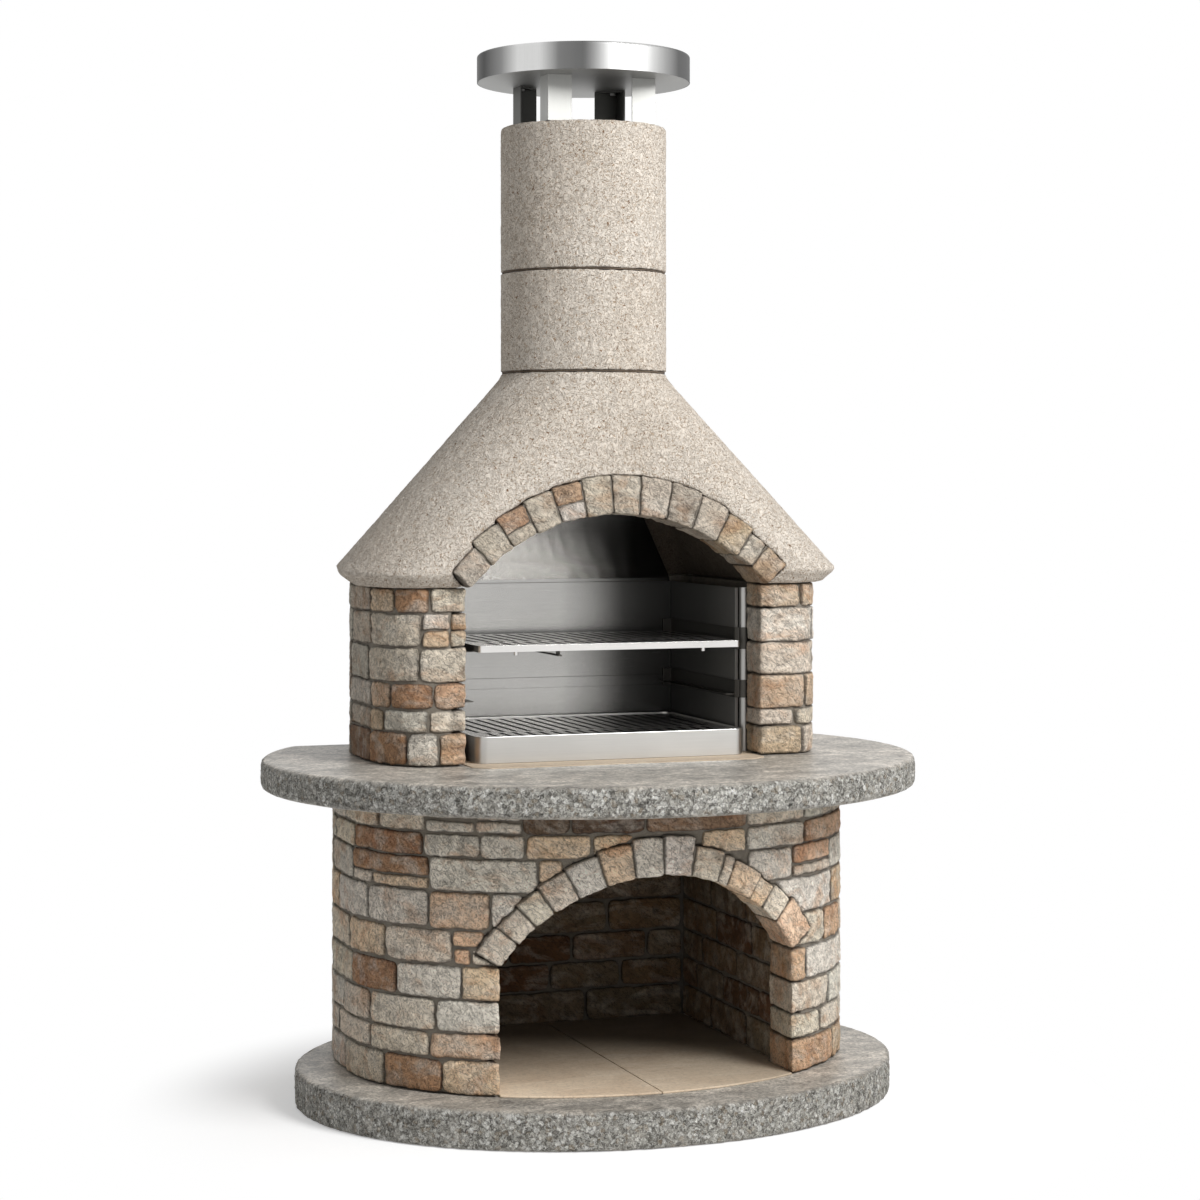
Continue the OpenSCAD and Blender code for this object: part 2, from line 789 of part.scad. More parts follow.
// Facing of a pier, clear of its corner stones
module pier_facing(rows, courses) {
    difference() {
        facing(pier_plan, rows, courses, pier_h, table_z, pier_run);
        translate([0, -far, 0]) cube([fire_w + corner_w + joint / 2, far + reveal_y, 2 * far]);
    }
}

module pier_stones_left() {
    color("tan") mirror([1, 0, 0]) pier_facing(pier_left_rows, pier_courses_left);
}

module pier_stones_right() { color("tan") pier_facing(pier_right_rows, pier_courses_right); }

module fire_corners(list, courses) {
    corners(pier_plan, list, courses, pier_h, table_z, pier_run, fire_w, fire_reveal);
}

module pier_corners_left() {
    color("wheat") mirror([1, 0, 0]) fire_corners(pier_left_corners, pier_courses_left);
}

module pier_corners_right() { color("wheat") fire_corners(pier_right_corners, pier_courses_right); }

// Top of the plate that the lining and the tray stand on
floor_z = table_z + plate_proud;

module liner_back() {
    w = liner_w - slide_gap;
    color("silver") {
        translate([-w, liner_y - sheet, floor_z]) cube([2 * w, sheet, liner_h]);
        translate([-w, liner_y - 2 * sheet, floor_z + rail_low_z]) cube([2 * w, sheet, band_h]);
    }
}

// Side panel with a flange turned out to the front post
module liner_side() {
    translate([liner_w, post_y, floor_z]) cube([sheet, liner_y - post_y, liner_h]);
    translate([liner_w, post_y, floor_z]) cube([post_x - clip_r - liner_w - bed, sheet, liner_h]);
}

module liner_left() { color("silver") mirror([1, 0, 0]) liner_side(); }
module liner_right() { color("silver") liner_side(); }

module post() {
    translate([post_x, post_y, floor_z])
        difference() {
            cylinder(r = post_r, h = liner_h, $fn = 48);
            translate([0, 0, -1]) cylinder(r = post_r - sheet, h = liner_h + 4, $fn = 48);
        }
}

module post_left() { color("silver") mirror([1, 0, 0]) post(); }
module post_right() { color("silver") post(); }

// A rail, its lower edge at z: strip along the side panel, ledge for the grate,
// tab at the back and clip round the post
module rail(z, h) {
    thick = 2;
    tab_w = 20;
    y0 = post_y - 2 * thick;
    length = liner_y - 2 * sheet - 1 - y0;
    outer = liner_w - bed;
    translate([outer - thick, y0, z]) cube([thick, length, h]);
    translate([outer - ledge_w, y0, z + rail_ledge - thick]) cube([ledge_w, length, thick]);
    translate([outer - tab_w, y0 + length - thick, z]) cube([tab_w, thick, h]);
    difference() {
        union() {
            translate([post_x, post_y, z]) cylinder(r = clip_r, h = h, $fn = 48);
            translate([outer - thick, y0, z]) cube([post_x - outer, thick, h]);
        }
        translate([post_x, post_y, z - 1]) cylinder(r = post_r + bed, h = h + 2, $fn = 48);
    }
}

module rail_upper_left() { color("dimgray") mirror([1, 0, 0]) rail(table_z + rail_up_z, rail_up_h); }
module rail_upper_right() { color("dimgray") rail(table_z + rail_up_z, rail_up_h); }
module rail_lower_left() { color("dimgray") mirror([1, 0, 0]) rail(table_z + rail_low_z, rail_low_h); }
module rail_lower_right() { color("dimgray") rail(table_z + rail_low_z, rail_low_h); }

// Sheet that carries the lining on up the back of the hood's hollow
module smoke_sheet() {
    z0 = floor_z + liner_h + 0.5;
    bend = hood_z - 4;
    lean = smoke_h * (rear_y - chimney_y - flue_r) / (hood_h - throat_h) + 8;
    y = liner_y - sheet;
    w = liner_w - 4;
    w_top = w - smoke_h * (chamber_w - flue_r) / (hood_h - throat_h) - 10;
    color("silver")
        intersection() {
            translate([-w, 0, 0]) rotate([90, 0, 90]) linear_extrude(2 * w)
                polygon([
                    [y, z0], [y + sheet, z0], [y + sheet, bend],
                    [y + sheet - lean, bend + smoke_h], [y - lean, bend + smoke_h], [y, bend]
                ]);
            through(-far, far)
                polygon([
                    [-w, z0 - 1], [w, z0 - 1], [w, bend], [w_top, bend + smoke_h + 1],
                    [-w_top, bend + smoke_h + 1], [-w, bend]
                ]);
        }
}

// Thickness of the tray's sheet
tray_sheet = 2;
// Width of the angle strips in the tray
tray_ledge_w = 10;
// How far the charcoal grate lies below the tray's rim, and inside its outline
grate_sunk = 3;
grate_in = 3;

module ember_tray() {
    color("lightgray")
        translate([0, 0, floor_z + slide_gap])
            difference() {
                linear_extrude(tray_h) round_plate(tray_w, tray_d, -tray_front, tray_r);
                translate([0, 0, tray_sheet]) linear_extrude(tray_h)
                    round_plate(
                        tray_w - 2 * tray_sheet, tray_d - 2 * tray_sheet,
                        tray_sheet - tray_front, tray_r - tray_sheet
                    );
            }
}

// Two angle strips inside the tray's sides, which carry the charcoal grate
module tray_ledges() {
    ledge_z = floor_z + slide_gap + tray_h - grate_sunk - grate_t - tray_sheet;
    length = tray_d - 2 * tray_r - tray_front;
    color("lightgray")
        for (sx = [0, 1]) mirror([sx, 0, 0])
            translate([tray_w / 2 - tray_sheet, tray_r, ledge_z]) {
                translate([-tray_ledge_w, 0, 0]) cube([tray_ledge_w, length, tray_sheet]);
                translate([-tray_sheet, 0, -tray_ledge_w])
                    cube([tray_sheet, length, tray_ledge_w + tray_sheet]);
            }
}

// Plate that lies in the tray, on its two ledges
module charcoal_grate() {
    w = tray_w - 2 * grate_in;
    d = tray_d - 2 * grate_in;
    z = floor_z + slide_gap + tray_h - grate_sunk - grate_t + slide_gap;
    front = grate_in - tray_front;
    color("dimgray")
        translate([0, 0, z]) linear_extrude(grate_t)
            difference() {
                round_plate(w, d, front, tray_r - grate_in);
                slots(w, front, front + d);
            }
}

// Underside of the cooking grate's turned-down edge, that edge's thickness, and its front
grate_z = table_z + rail_up_z + rail_ledge + slide_gap;
lip_t = 2.5;
grate_front = -4;
// Underside of the cooking grate's plate, above its edge's underside
plate_rise = grate_lip - grate_t;
// Where the stops under the cooking grate stand, and how far they hang below its lip
stop_x = 197;
stop_y = 5;
stop_drop = 7;

module cooking_grate() {
    corner_r = 8;
    stop_r = 4;
    color("silver") {
        translate([0, 0, grate_z])
            difference() {
                linear_extrude(grate_lip) round_plate(grate_w, grate_d, grate_front, corner_r);
                translate([0, 0, -1]) linear_extrude(plate_rise + 1)
                    round_plate(
                        grate_w - 2 * lip_t, grate_d - 2 * lip_t, grate_front + lip_t, corner_r - lip_t
                    );
                translate([0, 0, -1]) linear_extrude(grate_lip + 2)
                    slots(grate_w, grate_front, grate_front + grate_d);
            }
        for (sx = [-1, 1])
            translate([sx * stop_x, stop_y, grate_z - stop_drop])
                cylinder(r = stop_r, h = stop_drop + plate_rise + 1, $fn = 24);
    }
}

// Flat pull bar hung on two straps under the cooking grate
module grate_handle() {
    bar = [8, 180, 3];
    left = -110;
    front = 4;
    drop = 11;
    top = plate_rise - bed;
    color("dimgray") {
        translate([left, front, grate_z - drop]) cube(bar);
        for (y = [front + 12, front + bar[1] - 15])
            translate([left, y, grate_z - drop]) cube([bar[0], bar[2], drop + top]);
    }
}

// Plan of the hood at a level: half width, front and back half width
function hood_plan(w, front, back_w) =
    let (a = w - hood_flat, b = hood_corner + (w - foot_w), n = 10)
    let (right = concat(
        [[0, -front]],
        [for (i = [0:n]) [w - a + a * sin(90 * i / n), b - front - b * cos(90 * i / n)]],
        [[back_w, back_y]]
    ))
    concat(right, [for (i = [len(right) - 1:-1:1]) [-right[i][0], right[i][1]]]);

// How far the hood's foot and its rim reach past the piers at the back
foot_past = 2;
rim_past = 35;

module hood_body() {
    thin = 0.1;
    collar = 8;
    hull() {
        translate([0, 0, hood_z]) linear_extrude(thin)
            polygon(hood_plan(foot_w, rim_front - rim_over, pier_back_w + foot_past));
        rim_slice(thin);
    }
    hull() {
        rim_slice(thin);
        translate([0, chimney_y, bed_low_z - collar - thin]) cylinder(r = chimney_r, h = thin, $fn = 64);
    }
    translate([0, chimney_y, bed_low_z - collar - thin]) cylinder(r = chimney_r, h = collar + thin, $fn = 96);
}

// Thin slice of the hood at its rim
module rim_slice(thin) {
    translate([0, 0, hood_z + rim_h - thin]) linear_extrude(thin)
        polygon(hood_plan(rim_w, rim_front, pier_back_w + rim_past));
}

module hood_hollow() {
    w = chamber_w + 5;
    hull() {
        translate([-w, reveal_y, hood_z - 1]) cube([2 * w, rear_y - reveal_y, 1]);
        translate([0, chimney_y, hood_z + hood_h - throat_h]) cylinder(r = flue_r, h = 0.1, $fn = 48);
    }
    translate([0, chimney_y, hood_z + hood_h - throat_h - 1])
        cylinder(r = flue_r, h = throat_h + 2, $fn = 96);
}

module hood() {
    color("antiquewhite")
        difference() {
            hood_body();
            hood_hollow();
            translate([0, 0, fire_centre_z])
                through(-far, reveal_y) arch_space(fire_r, fire_ring, fire_half, fire_stones, bed);
            translate([0, 0, fire_centre_z])
                through(-far, reveal_y + 30) circle(r = fire_r, $fn = 96);
        }
}

// Prism over the arch that follows the hood's front, d behind the arch stones' face
module hood_front(d, back) {
    lean = (rim_front + chimney_y - chimney_r) / (hood_h - rim_h);
    top = fire_rise + fire_ring + 20;
    y = d - rim_front - proud;
    translate([-far, 0, hood_z]) rotate([90, 0, 90]) linear_extrude(2 * far)
        polygon([[y - 1, 0], [y, rim_h], [y + lean * (top - rim_h), top], [back, top], [back, 0]]);
}

module hood_arch() {
    color("wheat")
        intersection() {
            translate([0, 0, fire_centre_z])
                through(-far, reveal_y) arch_face(fire_r, fire_ring, fire_half, fire_stones);
            hood_front(0, reveal_y);
        }
}

// Mortar between the hood arch's stones
module hood_arch_joints() {
    color("gray")
        intersection() {
            translate([0, 0, fire_centre_z])
                through(-far, reveal_y) arch_joint_face(fire_r, fire_ring, fire_half, fire_stones);
            hood_front(mortar_in, reveal_y - mortar_in);
        }
}

// A ring of mortar between two lengths of chimney, set back from the face
module mortar_ring(z) {
    translate([0, chimney_y, z])
        difference() {
            cylinder(r = chimney_r - 3, h = ring_joint, $fn = 96);
            translate([0, 0, -1]) cylinder(r = flue_r, h = ring_joint + 2, $fn = 96);
        }
}

module chimney_bed_lower() { color("dimgray") mortar_ring(bed_low_z); }
module chimney_bed_upper() { color("dimgray") mortar_ring(bed_up_z); }

module chimney_lower() {
    color("antiquewhite")
        translate([0, chimney_y, ring_low_z])
            difference() {
                cylinder(r = chimney_r, h = ring_low_h, $fn = 96);
                translate([0, 0, -1]) cylinder(r = flue_r, h = ring_low_h + 2, $fn = 96);
            }
}

module chimney_upper() {
    edge_r = 7;
    color("antiquewhite")
        translate([0, chimney_y, ring_up_z])
            difference() {
                rotate_extrude($fn = 96)
                    difference() {
                        translate([flue_r, 0]) square([chimney_r - flue_r, ring_up_h]);
                        difference() {
                            translate([chimney_r - edge_r, ring_up_h - edge_r]) square(2 * edge_r);
                            translate([chimney_r - edge_r, ring_up_h - edge_r]) circle(r = edge_r, $fn = 32);
                        }
                    }
                at_legs() translate([0, 0, ring_up_h - anchor_l - 2])
                    cylinder(r = screw_r + bed, h = anchor_l + 4, $fn = 24);
            }
}

// Depth of the anchors under the legs' feet
anchor_l = 38;
// Where the legs' outer corners and screws stand, from the chimney's axis
leg_x = 114;
screw_in = 14;
screw_x = leg_x - screw_in;

// Repeats its children at each leg's screw
module at_legs() {
    for (sx = [-1, 1], sy = [-1, 1]) translate([sx * screw_x, sy * screw_x, 0]) children();
}

// Angle leg with a foot plate and a head plate in its corner
module cap_leg(sx, sy) {
    color("silver")
        translate([0, chimney_y, cap_foot_z])
            mirror([sx < 0 ? 1 : 0, 0, 0]) mirror([0, sy < 0 ? 1 : 0, 0])
                difference() {
                    union() {
                        linear_extrude(leg_h)
                            polygon([
                                [leg_x, leg_x], [leg_x - leg_w, leg_x],
                                [leg_x - leg_w, leg_x - leg_t], [leg_x - leg_t, leg_x - leg_t],
                                [leg_x - leg_t, leg_x - leg_w], [leg_x, leg_x - leg_w]
                            ]);
                        for (z = [0, leg_h - leg_t]) translate([0, 0, z]) linear_extrude(leg_t)
                            polygon([[leg_x, leg_x], [leg_x - leg_w, leg_x], [leg_x, leg_x - leg_w]]);
                    }
                    translate([screw_x, screw_x, -1]) cylinder(r = screw_r + bed, h = leg_h + 2, $fn = 24);
                }
}

module cap_leg_front_left() { cap_leg(-1, -1); }
module cap_leg_front_right() { cap_leg(1, -1); }
module cap_leg_rear_left() { cap_leg(-1, 1); }
module cap_leg_rear_right() { cap_leg(1, 1); }

// Anchors from the feet down into the chimney's rim
module cap_anchors() {
    color("silver")
        translate([0, chimney_y, cap_foot_z]) at_legs() {
            translate([0, 0, leg_t]) cylinder(r = 1.6 * screw_r, h = screw_r, $fn = 6);
            translate([0, 0, -anchor_l]) cylinder(r = screw_r, h = anchor_l + leg_t, $fn = 24);
        }
}

// Bolts from the head plates up into the cap
module cap_bolts() {
    color("silver")
        translate([0, chimney_y, cap_z]) at_legs() {
            translate([0, 0, -leg_t - screw_r]) cylinder(r = 1.6 * screw_r, h = screw_r, $fn = 6);
            translate([0, 0, -leg_t]) cylinder(r = screw_r, h = leg_t + sheet + 5, $fn = 24);
        }
}

module cap_underside() {
    color("silver")
        translate([0, chimney_y, cap_z])
            difference() {
                cylinder(r = cap_r - sheet - bed, h = sheet, $fn = 128);
                at_legs() translate([0, 0, -1]) cylinder(r = screw_r + bed, h = 10, $fn = 24);
            }
}

// Top disc and skirt of the cap, with a rounded upper edge
module cap_shell() {
    r = 5;
    color("silver")
        translate([0, chimney_y, cap_z])
            rotate_extrude($fn = 128)
                difference() {
                    cap_profile(cap_r, cap_h, r);
                    translate([0, -1]) cap_profile(cap_r - sheet, cap_h - sheet + 1, r - sheet);
                }
}

module cap_profile(w, h, r) {
    square([w - r, h]);
    square([w, h - r]);
    translate([w - r, h - r]) circle(r = r, $fn = 32);
}

plinth();
hearth_tile_left();
hearth_tile_right();
lower_wall_left();
lower_wall_right();
lower_wall_back();
lower_lintel();
lower_stones_left();
lower_stones_right();
lower_stones_centre();
lower_corners_left();
lower_corners_right();
lower_arch();
lower_arch_joints();
store_lining_left();
store_lining_right();
store_lining_back();
table_slab();
fire_plate();
pier_left();
pier_right();
rear_wall();
pier_stones_left();
pier_stones_right();
pier_corners_left();
pier_corners_right();
liner_back();
liner_left();
liner_right();
smoke_sheet();
post_left();
post_right();
rail_upper_left();
rail_upper_right();
rail_lower_left();
rail_lower_right();
ember_tray();
tray_ledges();
charcoal_grate();
cooking_grate();
grate_handle();
hood();
hood_arch();
hood_arch_joints();
chimney_bed_lower();
chimney_lower();
chimney_bed_upper();
chimney_upper();
cap_leg_front_left();
cap_leg_front_right();
cap_leg_rear_left();
cap_leg_rear_right();
cap_anchors();
cap_bolts();
cap_underside();
cap_shell();
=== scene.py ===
import json
import math

import bpy
import bmesh
import numpy as np
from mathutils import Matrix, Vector

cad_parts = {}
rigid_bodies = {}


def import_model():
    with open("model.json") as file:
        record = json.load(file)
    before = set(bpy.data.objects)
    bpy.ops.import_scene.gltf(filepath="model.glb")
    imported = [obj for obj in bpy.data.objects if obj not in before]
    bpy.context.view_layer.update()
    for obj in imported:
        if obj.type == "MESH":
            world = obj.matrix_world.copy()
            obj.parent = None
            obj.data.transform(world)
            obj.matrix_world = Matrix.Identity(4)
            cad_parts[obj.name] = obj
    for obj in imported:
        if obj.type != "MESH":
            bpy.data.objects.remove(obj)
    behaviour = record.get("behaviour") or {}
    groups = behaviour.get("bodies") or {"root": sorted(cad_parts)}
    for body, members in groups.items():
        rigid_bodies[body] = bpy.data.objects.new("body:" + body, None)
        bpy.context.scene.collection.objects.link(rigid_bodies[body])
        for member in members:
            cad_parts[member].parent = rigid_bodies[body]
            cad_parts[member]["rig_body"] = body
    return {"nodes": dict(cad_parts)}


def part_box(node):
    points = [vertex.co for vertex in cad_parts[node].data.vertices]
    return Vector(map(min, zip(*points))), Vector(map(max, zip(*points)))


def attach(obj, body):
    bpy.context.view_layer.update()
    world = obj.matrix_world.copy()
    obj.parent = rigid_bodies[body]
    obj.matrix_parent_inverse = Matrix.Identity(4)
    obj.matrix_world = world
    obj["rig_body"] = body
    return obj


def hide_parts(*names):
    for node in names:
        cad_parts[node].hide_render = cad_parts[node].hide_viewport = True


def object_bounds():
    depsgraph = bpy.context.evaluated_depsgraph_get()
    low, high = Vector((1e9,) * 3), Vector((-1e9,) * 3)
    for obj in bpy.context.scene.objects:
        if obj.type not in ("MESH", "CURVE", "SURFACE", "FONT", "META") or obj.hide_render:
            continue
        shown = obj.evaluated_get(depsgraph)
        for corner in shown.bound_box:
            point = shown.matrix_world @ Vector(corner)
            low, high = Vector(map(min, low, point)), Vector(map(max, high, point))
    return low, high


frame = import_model()
CAD_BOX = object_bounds()
MM = 0.001


# Places taken from the frame
def low(node):
    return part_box(node)[0]


def high(node):
    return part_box(node)[1]


PLINTH_TOP = high("plinth").z
SLAB_TOP = high("table_slab").z
HOOD_FOOT = low("hood").z
CHIMNEY_AXIS = np.array([0.0, (low("chimney_upper").y + high("chimney_upper").y) / 2, 0.0])


def body_of(node):
    return frame["nodes"][node]["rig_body"]


def srgb(code, alpha=1.0):
    """A colour written as on screen, as the linear values that a shader takes."""
    parts = [int(code[i:i + 2], 16) / 255 for i in (1, 3, 5)]
    linear = [c / 12.92 if c <= 0.04045 else ((c + 0.055) / 1.055) ** 2.4 for c in parts]
    return (*linear, alpha)


# Noise over arrays of points

# Turns the noise's grid away from the object's own axes
TURN = np.array([[0.80, 0.36, -0.48], [-0.60, 0.48, -0.64], [0.0, 0.80, 0.60]])


def lattice(cell, seed):
    """A steady pseudo-random number from 0 to 1 for each whole-number cell."""
    with np.errstate(over="ignore"):
        h = (cell[:, 0] * np.uint32(374761393)
             + cell[:, 1] * np.uint32(668265263)
             + cell[:, 2] * np.uint32(2246822519)
             + np.uint32(seed) * np.uint32(974634777))
        h = (h ^ (h >> np.uint32(13))) * np.uint32(1274126177)
        h = (h ^ (h >> np.uint32(16))) * np.uint32(2654435769)
        h = h ^ (h >> np.uint32(15))
    return h.astype(np.float64) / 4294967295.0


def value_noise(points, size, seed):
    """Smooth noise from -1 to 1, with bumps about size across."""
    turned = points @ TURN / size + 1000.0
    base = np.floor(turned)
    part = turned - base
    part = part * part * part * (part * (part * 6 - 15) + 10)
    cell = base.astype(np.uint32)
    total = np.zeros(len(points))
    for corner in range(8):
        step = np.array([corner & 1, (corner >> 1) & 1, corner >> 2], np.uint32)
        weight = np.prod(np.where(step, part, 1 - part), axis=1)
        total += weight * lattice(cell + step, seed)
    return total * 2 - 1


def layered(points, size, seed, layers=2):
    """Noise with finer and weaker layers on top."""
    total = np.zeros(len(points))
    scale = 0.0
    for k in range(layers):
        total += value_noise(points, size / 2 ** k, seed + 17 * k) / 2 ** k
        scale += 1 / 2 ** k
    return total / scale


def ridged(points, size, seed, layers=2):
    """Noise with sharp crests, from 0 in the valleys to 1 on the crests."""
    total = np.zeros(len(points))
    scale = 0.0
    for k in range(layers):
        total += (1 - np.abs(value_noise(points, size / 2 ** k, seed + 31 * k))) / 2 ** k
        scale += 1 / 2 ** k
    return total / scale


def chips(points, size, seed):
    """Cellular noise: distance to the nearest chip's middle, and that chip's own number."""
    scaled = points / size + 500.0
    base = np.floor(scaled)
    best = np.full(len(points), 9.0)
    number = np.zeros(len(points))
    for dx in (-1, 0, 1):
        for dy in (-1, 0, 1):
            for dz in (-1, 0, 1):
                cell = (base + (dx, dy, dz)).astype(np.uint32)
                jitter = np.stack([lattice(cell, seed + a) for a in range(3)], axis=1)
                gap = np.linalg.norm(cell + jitter - scaled, axis=1)
                closer = gap < best
                best = np.where(closer, gap, best)
                number = np.where(closer, jitter[:, 0], number)
    return best, number


# Mesh helpers

def link(obj):
    bpy.context.scene.collection.objects.link(obj)
    return obj


def baked(obj):
    """The object's mesh with its modifiers applied."""
    graph = bpy.context.evaluated_depsgraph_get()
    mesh = bpy.data.meshes.new_from_object(obj.evaluated_get(graph))
    obj.modifiers.clear()
    obj.data = mesh
    return obj


def joined_copy(name, nodes):
    """One new object that holds copies of these CAD nodes' meshes."""
    shape = bmesh.new()
    for node in nodes:
        shape.from_mesh(frame["nodes"][node].data)
    bmesh.ops.remove_doubles(shape, verts=shape.verts, dist=2e-5)
    mesh = bpy.data.meshes.new(name)
    shape.to_mesh(mesh)
    shape.free()
    mesh.materials.clear()
    return link(bpy.data.objects.new(name, mesh))


def even(obj, voxel):
    """Remakes a mesh in even quads of about the voxel's size."""
    step = obj.modifiers.new("even", "REMESH")
    step.mode = "VOXEL"
    step.voxel_size = voxel
    step.use_smooth_shade = True
    return baked(obj)


def remeshed(name, nodes, voxel):
    return even(joined_copy(name, nodes), voxel)


def points_of(mesh):
    co = np.empty(len(mesh.vertices) * 3)
    mesh.vertices.foreach_get("co", co)
    return co.reshape(-1, 3)


def set_points(mesh, points):
    mesh.vertices.foreach_set("co", points.astype(np.float32).ravel())
    mesh.update()


def inside_box(points):
    """Points kept a hair inside the CAD's own box."""
    hair = 0.05 * MM
    return np.clip(points, np.array(CAD_BOX[0]) + hair, np.array(CAD_BOX[1]) - hair)


def normals_of(mesh):
    no = np.empty(len(mesh.vertices) * 3)
    mesh.vertex_normals.foreach_get("vector", no)
    return no.reshape(-1, 3)


def edges_of(mesh):
    pairs = np.empty(len(mesh.edges) * 2, np.int64)
    mesh.edges.foreach_get("vertices", pairs)
    return pairs.reshape(-1, 2)


def smoothed(points, pairs, rounds, strength=0.5):
    """Points pulled towards their neighbours' mean, which rounds the edges."""
    n = len(points)
    degree = np.bincount(pairs.ravel(), minlength=n)[:, None]
    for _ in range(rounds):
        mean = np.zeros_like(points)
        for axis in range(points.shape[1]):
            mean[:, axis] += np.bincount(pairs[:, 0], points[pairs[:, 1], axis], n)
            mean[:, axis] += np.bincount(pairs[:, 1], points[pairs[:, 0], axis], n)
        points = points + strength * (mean / degree - points)
    return points


def islands(count, pairs):
    """A number for each point that says which loose part it is in."""
    label = np.arange(count)
    while True:
        least = np.minimum(label[pairs[:, 0]], label[pairs[:, 1]])
        new = label.copy()
        np.minimum.at(new, label[pairs[:, 0]], least)
        np.minimum.at(new, label[pairs[:, 1]], least)
        new = new[new]
        new = new[new]
        if np.array_equal(new, label):
            return np.unique(label, return_inverse=True)[1]
        label = new


def put_value(mesh, name, values):
    layer = mesh.attributes.new(name, "FLOAT", "POINT")
    layer.data.foreach_set("value", values.astype(np.float32))


def put_colour(mesh, name, colours):
    four = np.concatenate([colours, np.ones((len(colours), 1))], axis=1)
    layer = mesh.attributes.new(name, "FLOAT_COLOR", "POINT")
    layer.data.foreach_set("color", four.astype(np.float32).ravel())


def finish_piece(obj, material, nodes):
    """Gives a piece its material and its body, and hides the CAD nodes that it stands for."""
    obj.data.materials.clear()
    obj.data.materials.append(material)
    obj.data.polygons.foreach_set("use_smooth", [True] * len(obj.data.polygons))
    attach(obj, body_of(nodes[0]))
    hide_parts(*nodes)
    return obj


# Material helpers

class Paint:
    """A material's node tree, built a step at a time."""

    def __init__(self, name, roughness, metallic=0.0):
        self.material = bpy.data.materials.new(name)
        self.material.use_nodes = True
        self.tree = self.material.node_tree
        self.shader = self.tree.nodes["Principled BSDF"]
        self.shader.inputs["Roughness"].default_value = roughness
        self.shader.inputs["Metallic"].default_value = metallic
        self.position = self.add("ShaderNodeTexCoord").outputs["Object"]

    def add(self, kind, **settings):
        node = self.tree.nodes.new(kind)
        for key, value in settings.items():
            setattr(node, key, value)
        return node

    def join(self, source, target):
        self.tree.links.new(source, target)

    def feed(self, socket, value):
        """Links a socket's source, or sets its value."""
        if isinstance(value, bpy.types.NodeSocket):
            self.join(value, socket)
        else:
            socket.default_value = value

    def stretched(self, scale, turn=(0, 0, 0)):
        """Places scaled along each axis, and turned."""
        node = self.add("ShaderNodeMapping")
        node.inputs["Scale"].default_value = scale
        node.inputs["Rotation"].default_value = turn
        self.join(self.position, node.inputs["Vector"])
        return node.outputs["Vector"]

    def slanted(self, long, angle):
        """Places stretched along a line in the front's plane, angle down from the right."""
        node = self.add("ShaderNodeMapping", vector_type="TEXTURE")
        node.inputs["Scale"].default_value = (long, 1, 1)
        node.inputs["Rotation"].default_value = (0, math.radians(angle), 0)
        self.join(self.position, node.inputs["Vector"])
        return node.outputs["Vector"]

    def noise(self, scale, detail=4.0, roughness=0.55, distortion=0.0, vector=None):
        node = self.add("ShaderNodeTexNoise")
        node.inputs["Scale"].default_value = scale
        node.inputs["Detail"].default_value = detail
        node.inputs["Roughness"].default_value = roughness
        node.inputs["Distortion"].default_value = distortion
        self.join(vector or self.position, node.inputs["Vector"])
        return node.outputs["Fac"]

    def cells(self, scale, feature, output, vector):
        node = self.add("ShaderNodeTexVoronoi", feature=feature)
        node.inputs["Scale"].default_value = scale
        self.join(vector, node.inputs["Vector"])
        return node.outputs[output]

    def crossing(self, field):
        """How far a field is from its middle value: 0 on thin winding lines."""
        return self.maths("ABSOLUTE", self.maths("SUBTRACT", field, 0.5))

    def attribute(self, name, output):
        return self.add("ShaderNodeAttribute", attribute_name=name).outputs[output]

    def ramp(self, factor, stops):
        """A colour ramp; each stop is (place, grey value or colour)."""
        node = self.add("ShaderNodeValToRGB")
        elements = node.color_ramp.elements
        elements.remove(elements[1])
        elements[0].position = stops[0][0]
        for place, _ in stops[1:]:
            elements.new(place)
        for element, (_, value) in zip(elements, stops):
            element.color = value if isinstance(value, tuple) else (value, value, value, 1)
        self.join(factor, node.inputs["Fac"])
        return node.outputs["Color"]

    def mix(self, factor, a, b, kind="MIX"):
        """Two colours blended. Inputs 6 and 7 and output 2 are the node's colour sockets."""
        node = self.add("ShaderNodeMix", data_type="RGBA", blend_type=kind)
        self.feed(node.inputs[0], factor)
        self.feed(node.inputs[6], a)
        self.feed(node.inputs[7], b)
        return node.outputs[2]

    def times(self, a, b):
        """Two colours multiplied."""
        return self.mix(1.0, a, b, "MULTIPLY")

    def maths(self, kind, a, b=0.5):
        node = self.add("ShaderNodeMath", operation=kind)
        self.feed(node.inputs[0], a)
        self.feed(node.inputs[1], b)
        return node.outputs[0]

    def line(self, value, slope, offset):
        """The value times slope, plus offset."""
        result = self.maths("MULTIPLY_ADD", value, slope)
        result.node.inputs[2].default_value = offset
        return result

    def axes(self, vector=None):
        """The X, Y and Z of a vector, or of the position."""
        node = self.add("ShaderNodeSeparateXYZ")
        self.join(vector or self.position, node.inputs[0])
        return node.outputs

    def bump(self, height, distance, strength=1.0, under=None):
        node = self.add("ShaderNodeBump")
        node.inputs["Strength"].default_value = strength
        node.inputs["Distance"].default_value = distance
        self.join(height, node.inputs["Height"])
        if under is not None:
            self.join(under, node.inputs["Normal"])
        return node.outputs["Normal"]

    def colour(self, source):
        self.feed(self.shader.inputs["Base Color"], source)

    def rough(self, source):
        self.feed(self.shader.inputs["Roughness"], source)

    def normal(self, source):
        self.join(source, self.shader.inputs["Normal"])


# Materials

